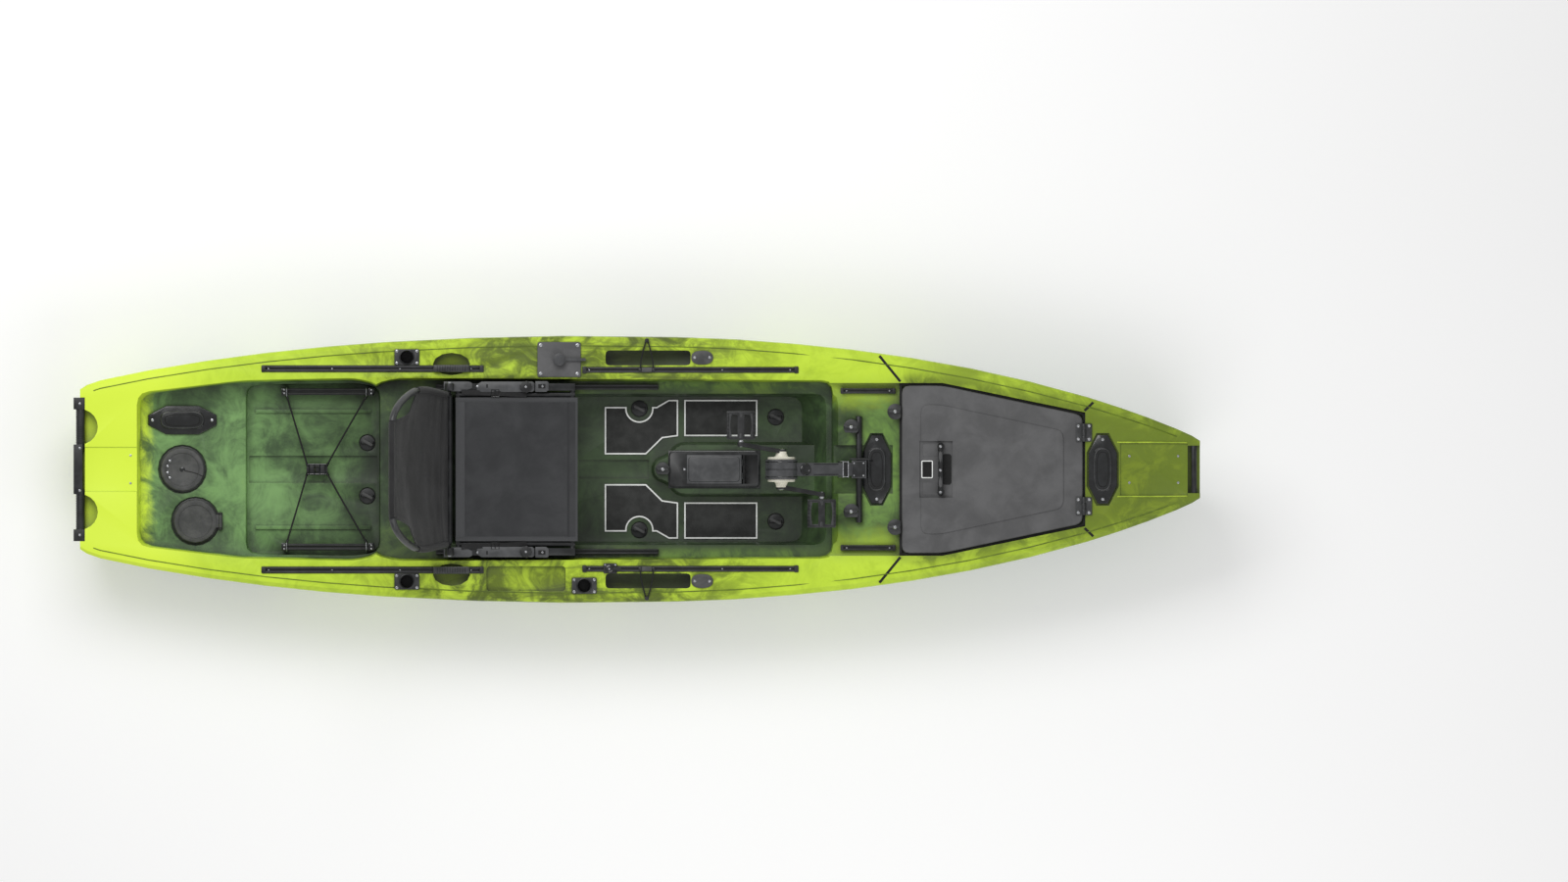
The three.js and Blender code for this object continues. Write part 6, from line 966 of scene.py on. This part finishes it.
# Pedal drive: pale collars and cones, bolts, and the pedals' cages, teeth and straps
CRANK_X, CRANK_Z, CRANK_ARM, CRANK_REST = 0.49, 0.412, 0.145, math.radians(20)
PEDAL_Y, PEDAL_HALF = 0.149, 0.0475
COLLAR = [(18, 0), (45.2, 0), (46.2, 1.5), (46.2, 6.5), (44.5, 8.6), (30, 9.2), (19.5, 9.4), (18, 9)]
CONE = [(16.5, 0), (24.5, 0), (20.5, 6), (18.2, 12.5), (17.8, 18.5), (16.5, 19)]
BOLT = [(0, -1), (13.5, -1), (13.5, 1.5), (11.2, 3.4), (7.2, 3.8), (6.2, 1.8), (0, 1.6)]
WASHER = [(6.2, 0), (10.8, 0), (10.8, 2.6), (8.8, 3.2), (8.8, 7.4), (6.2, 7.6)]
NUT = [(0, -0.6), (7.8, -0.6), (7.8, 2.2), (6.2, 3), (0, 3)]
TOOTH = [(0, -0.5), (2.6, -0.5), (2.1, 2.2), (1.2, 3.2), (0, 3.4)]
BARREL = [(6, -47), (12.5, -44), (11.8, -30), (7.8, -17), (7.4, 17), (11.8, 30), (12.5, 44), (6, 47)]
for side, sign in SIDES:
    body, middle = f"pedal_{side}", sign * PEDAL_Y
    tip_x = CRANK_X - sign * CRANK_ARM * math.cos(CRANK_REST)
    tip_z = CRANK_Z + sign * CRANK_ARM * math.sin(CRANK_REST)
    hub, tip = (CRANK_X, CRANK_Z), (tip_x, tip_z)
    for name, profile, (x, z), y, facing, sides, material, rides, smooth in (
            ("drive_collar", COLLAR, hub, 0.0331, sign, 48, CREAM, "hull", 30),
            ("drive_cone", CONE, hub, 0.0415, sign, 40, CREAM, "hull", 35),
            ("crank_bolt", BOLT, hub, 0.067, sign, 32, ALLOY, "cranks", 35),
            ("pedal_washer", WASHER, tip, 0.0922, sign, 28, SCREW, "cranks", 35),
            ("pedal_nut", NUT, tip, 0.0782, -sign, 6, ALLOY, "cranks", 20)):
        shape = turned(profile, sideways(x, sign * y, z, facing), sides)
        part(f"{name}_{side}", shape, material, rides, smooth=smooth)
    spots = [(tip_x + dx, middle + k * 0.0128) for dx in (-0.0435, 0.0435) for k in range(-3, 4)]
    teeth = [turned(TOOTH, at(x, y, tip_z + lift) @ Matrix.Rotation(flip, 4, "X"), 8)
             for x, y in spots for lift, flip in ((0.011, 0), (-0.011, math.pi))]
    part(f"pedal_teeth_{side}", combined(teeth), BLACK, body)
    rails = []
    for end in (-1, 1):
        rail = [(0.0475, PEDAL_HALF), (0.0475, -PEDAL_HALF), (0.0295, -PEDAL_HALF)]
        rail += [(0.0295 + 0.0062 * math.cos(math.pi * k / 16), PEDAL_HALF * k / 9) for k in range(-8, 9)]
        rail.append((0.0295, PEDAL_HALF))
        outline = [(tip_x + end * dx, middle + dy) for dx, dy in rail]
        rails.append(prism(outline if end < 0 else outline[::-1], tip_z - 0.0105, tip_z + 0.0108))
    for dy in (-0.042, 0.042):
        rails.append(prism(rounded_at(tip_x, middle + dy, 0.03, 0.0055, 0.002), tip_z - 0.009, tip_z + 0.009))
    part(f"pedal_cage_{side}", combined(rails), FITTING, body, edge=0.0012, smooth=40)
    part(f"pedal_barrel_{side}", turned(BARREL, sideways(tip_x, middle, tip_z, 1), 24), FITTING, body)
    straps = [prism(rounded_at(tip_x, middle, 0.0045, 0.024, 0.003), tip_z + low, tip_z + high)
              for low, high in ((0.0075, 0.0109), (-0.0109, -0.0075))]
    part(f"pedal_strap_{side}", combined(straps), SCREW, body, edge=0.0004)

# The drive's housing and its arm, which slopes down ahead of the cranks
ARM_X, ARM_Z, ARM_SLOPE = 0.517, 0.438, math.atan((0.438 - 0.3136) / 0.21)


def on_arm(x, y=0.0, lift=0.0):
    z = ARM_Z - (x - ARM_X) * math.tan(ARM_SLOPE)
    return at(x, y, z) @ Matrix.Rotation(ARM_SLOPE, 4, "Y") @ at(0, 0, lift)


def arm_rod(spots, radius, sides=8):
    return tube([on_arm(*spot).translation for spot in spots], radius, sides)


part("drive_housing_seam", tube(upright_ring(CRANK_X, 0, CRANK_Z, 0.0546, 64), 0.0011, 8, True), BLACK)
for side, y in (("starboard", -0.0255), ("port", 0.0255)):
    band = tube(upright_ring(CRANK_X, y, CRANK_Z, 0.0542, 64), 0.0016, 8, True)
    part(f"drive_housing_rib_{side}", band, GLOSS)
ARM_BOSS = [(0, -2), (20.5, -2), (20.5, 2.2), (18.2, 4.8), (12.5, 5.6), (10.8, 3.6), (0, 3.4)]
part("drive_arm_boss", turned(ARM_BOSS, on_arm(0.572), 40), GLOSS)
ribs = [arm_rod([(x, y, 0.0003) for x in (0.6, 0.682)], 0.0016) for y in (-0.0175, 0.0175)]
part("drive_arm_ribs", combined(ribs), GLOSS)
BAIL_AFT, BAIL_FORE, BAIL_TOP = 0.697, 0.7145, 0.0035
BAIL_RADIUS, BAIL_SIDE = 0.0026, ((0.694, -0.024), (BAIL_AFT, BAIL_TOP), (BAIL_FORE, BAIL_TOP), (0.7165, -0.02))
bail = [arm_rod([(x, y, lift) for x, lift in BAIL_SIDE], BAIL_RADIUS) for y in (-0.0255, 0.0255)]
bail += [arm_rod([(x, y, BAIL_TOP) for y in (-0.0275, 0.0275)], BAIL_RADIUS, 10) for x in (BAIL_AFT, BAIL_FORE)]
part("drive_clamp_bail", combined(bail), SCREW, smooth=60)
plate = prism(rounded_at(0, 0, 0.0095, 0.0195, 0.003), 0.0004, 0.0042, on_arm(0.7055))
part("drive_clamp_plate", plate, COATED, edge=0.0008)
lever = [(0.722, 0.0345, 0.3155), (0.735, 0.0352, 0.319), (0.765, 0.0352, 0.319), (0.786, 0.0345, 0.3185),
         (0.791, 0.034, 0.317)]
part("drive_release_lever", tube(smooth_line(lever, 6), 0.0034, 10), BLACK, smooth=60)
SADDLE_TOP = 0.3192
saddle = prism(rounded_box(0.7295, 0.7745, -0.0275, 0.0275, 0.005), 0.3168, SADDLE_TOP)
part("drive_saddle_top", saddle, COATED, edge=0.0012)
screws("drive_saddle_screws", four_round(0.752, 0, SADDLE_TOP, 0.016, 0.021), 3)

# Carry grips on the aft tracks, lines along every track, and the bars on the scupper plugs
TRACK_LINES = (("aft_a", -1.252, -0.69, AFT_TRACK_Y, 0.3152), ("aft_b", -0.562, -0.533, AFT_TRACK_Y, 0.3152),
               ("fore", -0.166, 0.532, FORE_TRACK_Y, 0.3152), ("seat", -0.676, 0.069, SEAT_RAIL_Y, 0.2452),
               ("tank", -1.183, -0.911, TANK_TRACK_Y, 0.2182))
for side, sign in SIDES:
    y0, y1 = sorted((sign * 0.329, sign * 0.3535))
    grip = prism(rounded_box(-0.688, -0.565, y0, y1, 0.005), 0.3146, 0.329)
    part(f"gunwale_grip_{side}", grip, FITTING, edge=0.0035)
    ridges = [prism(box(x, x + 0.0035, y0 + 0.003, y1 - 0.003), 0.3285, 0.3302)
              for x in [-0.675 + 0.0085 * k for k in range(12)]]
    part(f"gunwale_grip_ridges_{side}", combined(ridges), BLACK, edge=0.0005)
    for name, x0, x1, y, top in TRACK_LINES:
        lines = [prism(box(x0, x1, line - 0.0007, line + 0.0007), top - 0.0009, top + 0.0008)
                 for line in (sign * y - 0.0062, sign * y + 0.0062)]
        part(f"track_lines_{name}_{side}", combined(lines), PLATE)
    clamp = prism(rounded_at(LOOP_X, sign * FORE_TRACK_Y, 0.017, 0.0075, 0.003), 0.3155, 0.3205)
    part(f"side_bungee_clamp_{side}", clamp, LID_ROUND, edge=0.001)
    for name, x, y, z in (("tank", -0.914, 0.09, 0.1802), ("rear", PLUG_X, PLUG_Y, 0.1302),
                          ("fore", 0.471, 0.177, 0.1302)):
        turn = at(x, sign * y, z) @ Matrix.Rotation(math.radians(-28), 4, "Z")
        bar = prism(rounded_at(0, 0, 0.0195, 0.0045, 0.003), -0.0012, 0.0022, turn)
        part(f"plug_bar_{name}_{side}", bar, LID_ROUND, f"plug_{name}_{side}", edge=0.0008)
ring = level_ring(STEERING_X, STEERING_Y, 0.3404, 0.0185, 40)
part("steering_ring", tube(ring, 0.0013, 8, True), PLATE, "steering", "black_plastic")

# Console: its rim and screw, and the lid's bead and hinge
rim = [(x, y, 0.1812) for x, y in rounded_box(0.11, 0.415, -0.061, 0.061, 0.016)]
part("console_rim", tube(rim, 0.0024, 8, True), GLOSS)
screws("console_screw", [at(0.1615, 0.0, 0.1816)], 4.5)
bead = [(x, y, 0.1808) for x, y in rounded_box(0.176, 0.348, -0.042, 0.042, 0.01)]
part("console_lid_bead", tube(bead, 0.0011, 8, True), GLOSS, "console_lid")
knuckles = [tube([(0.3585, y, 0.1822) for y in ends], 0.0034, 12)
            for ends in ((-0.034, -0.012), (0.012, 0.034))]
part("console_hinge", combined(knuckles), GLOSS, "console_lid")

# Floor, light and camera
FLOOR_HALF = 30
floor_mesh = bpy.data.meshes.new("floor")
floor_mesh.from_pydata([(x, y, 0) for x, y in box(-FLOOR_HALF, FLOOR_HALF, -FLOOR_HALF, FLOOR_HALF)], [],
                       [(0, 1, 2, 3)])
floor = bpy.data.objects.new("floor", floor_mesh)
scene.collection.objects.link(floor)
pale = Nodes("pale_floor", roughness=0.9)
pale.colour((0.93, 0.93, 0.93, 1))
# The floor glows a little where it is looked at, straight or by a shine, and lights nothing else
rays = pale.new("ShaderNodeLightPath").outputs
looked_at = pale.math("ADD", rays["Is Camera Ray"], rays["Is Glossy Ray"])
looked_at = pale.math("MINIMUM", pale.math("ADD", looked_at, rays["Is Transmission Ray"]), 1.0)
pale.put(pale.bsdf, "Emission Color", (1, 1, 1, 1))
pale.put(pale.bsdf, "Emission Strength", pale.times(looked_at, 0.16))
floor_mesh.materials.append(pale.mat)

world = bpy.data.worlds.new("studio")
scene.world = world
world.use_nodes = True
background = world.node_tree.nodes["Background"]
background.inputs["Color"].default_value = (1, 1, 1, 1)
background.inputs["Strength"].default_value = 0.45


def lamp(name, place, aim, size, power):
    data = bpy.data.lights.new(name, "AREA")
    data.shape = "RECTANGLE"
    data.size, data.size_y = size
    data.energy = power
    obj = bpy.data.objects.new(name, data)
    scene.collection.objects.link(obj)
    obj.location = place
    obj.rotation_euler = (Vector(aim) - Vector(place)).to_track_quat("-Z", "Y").to_euler()


lamp("key", (-1.5, 3.2, 4.5), (0, 0, 0.2), (5.0, 2.5), 155)
lamp("fill", (1.5, -3.5, 4.0), (0, 0, 0.2), (5.0, 2.5), 70)

camera_data = bpy.data.cameras.new("camera")
camera_data.lens = 400
camera_data.sensor_width = 36
camera_data.clip_end = 200
camera = bpy.data.objects.new("camera", camera_data)
scene.collection.objects.link(camera)
camera.location = (0.499, 0.096, 59.264)
camera.rotation_euler = (0, 0, 0)
scene.camera = camera
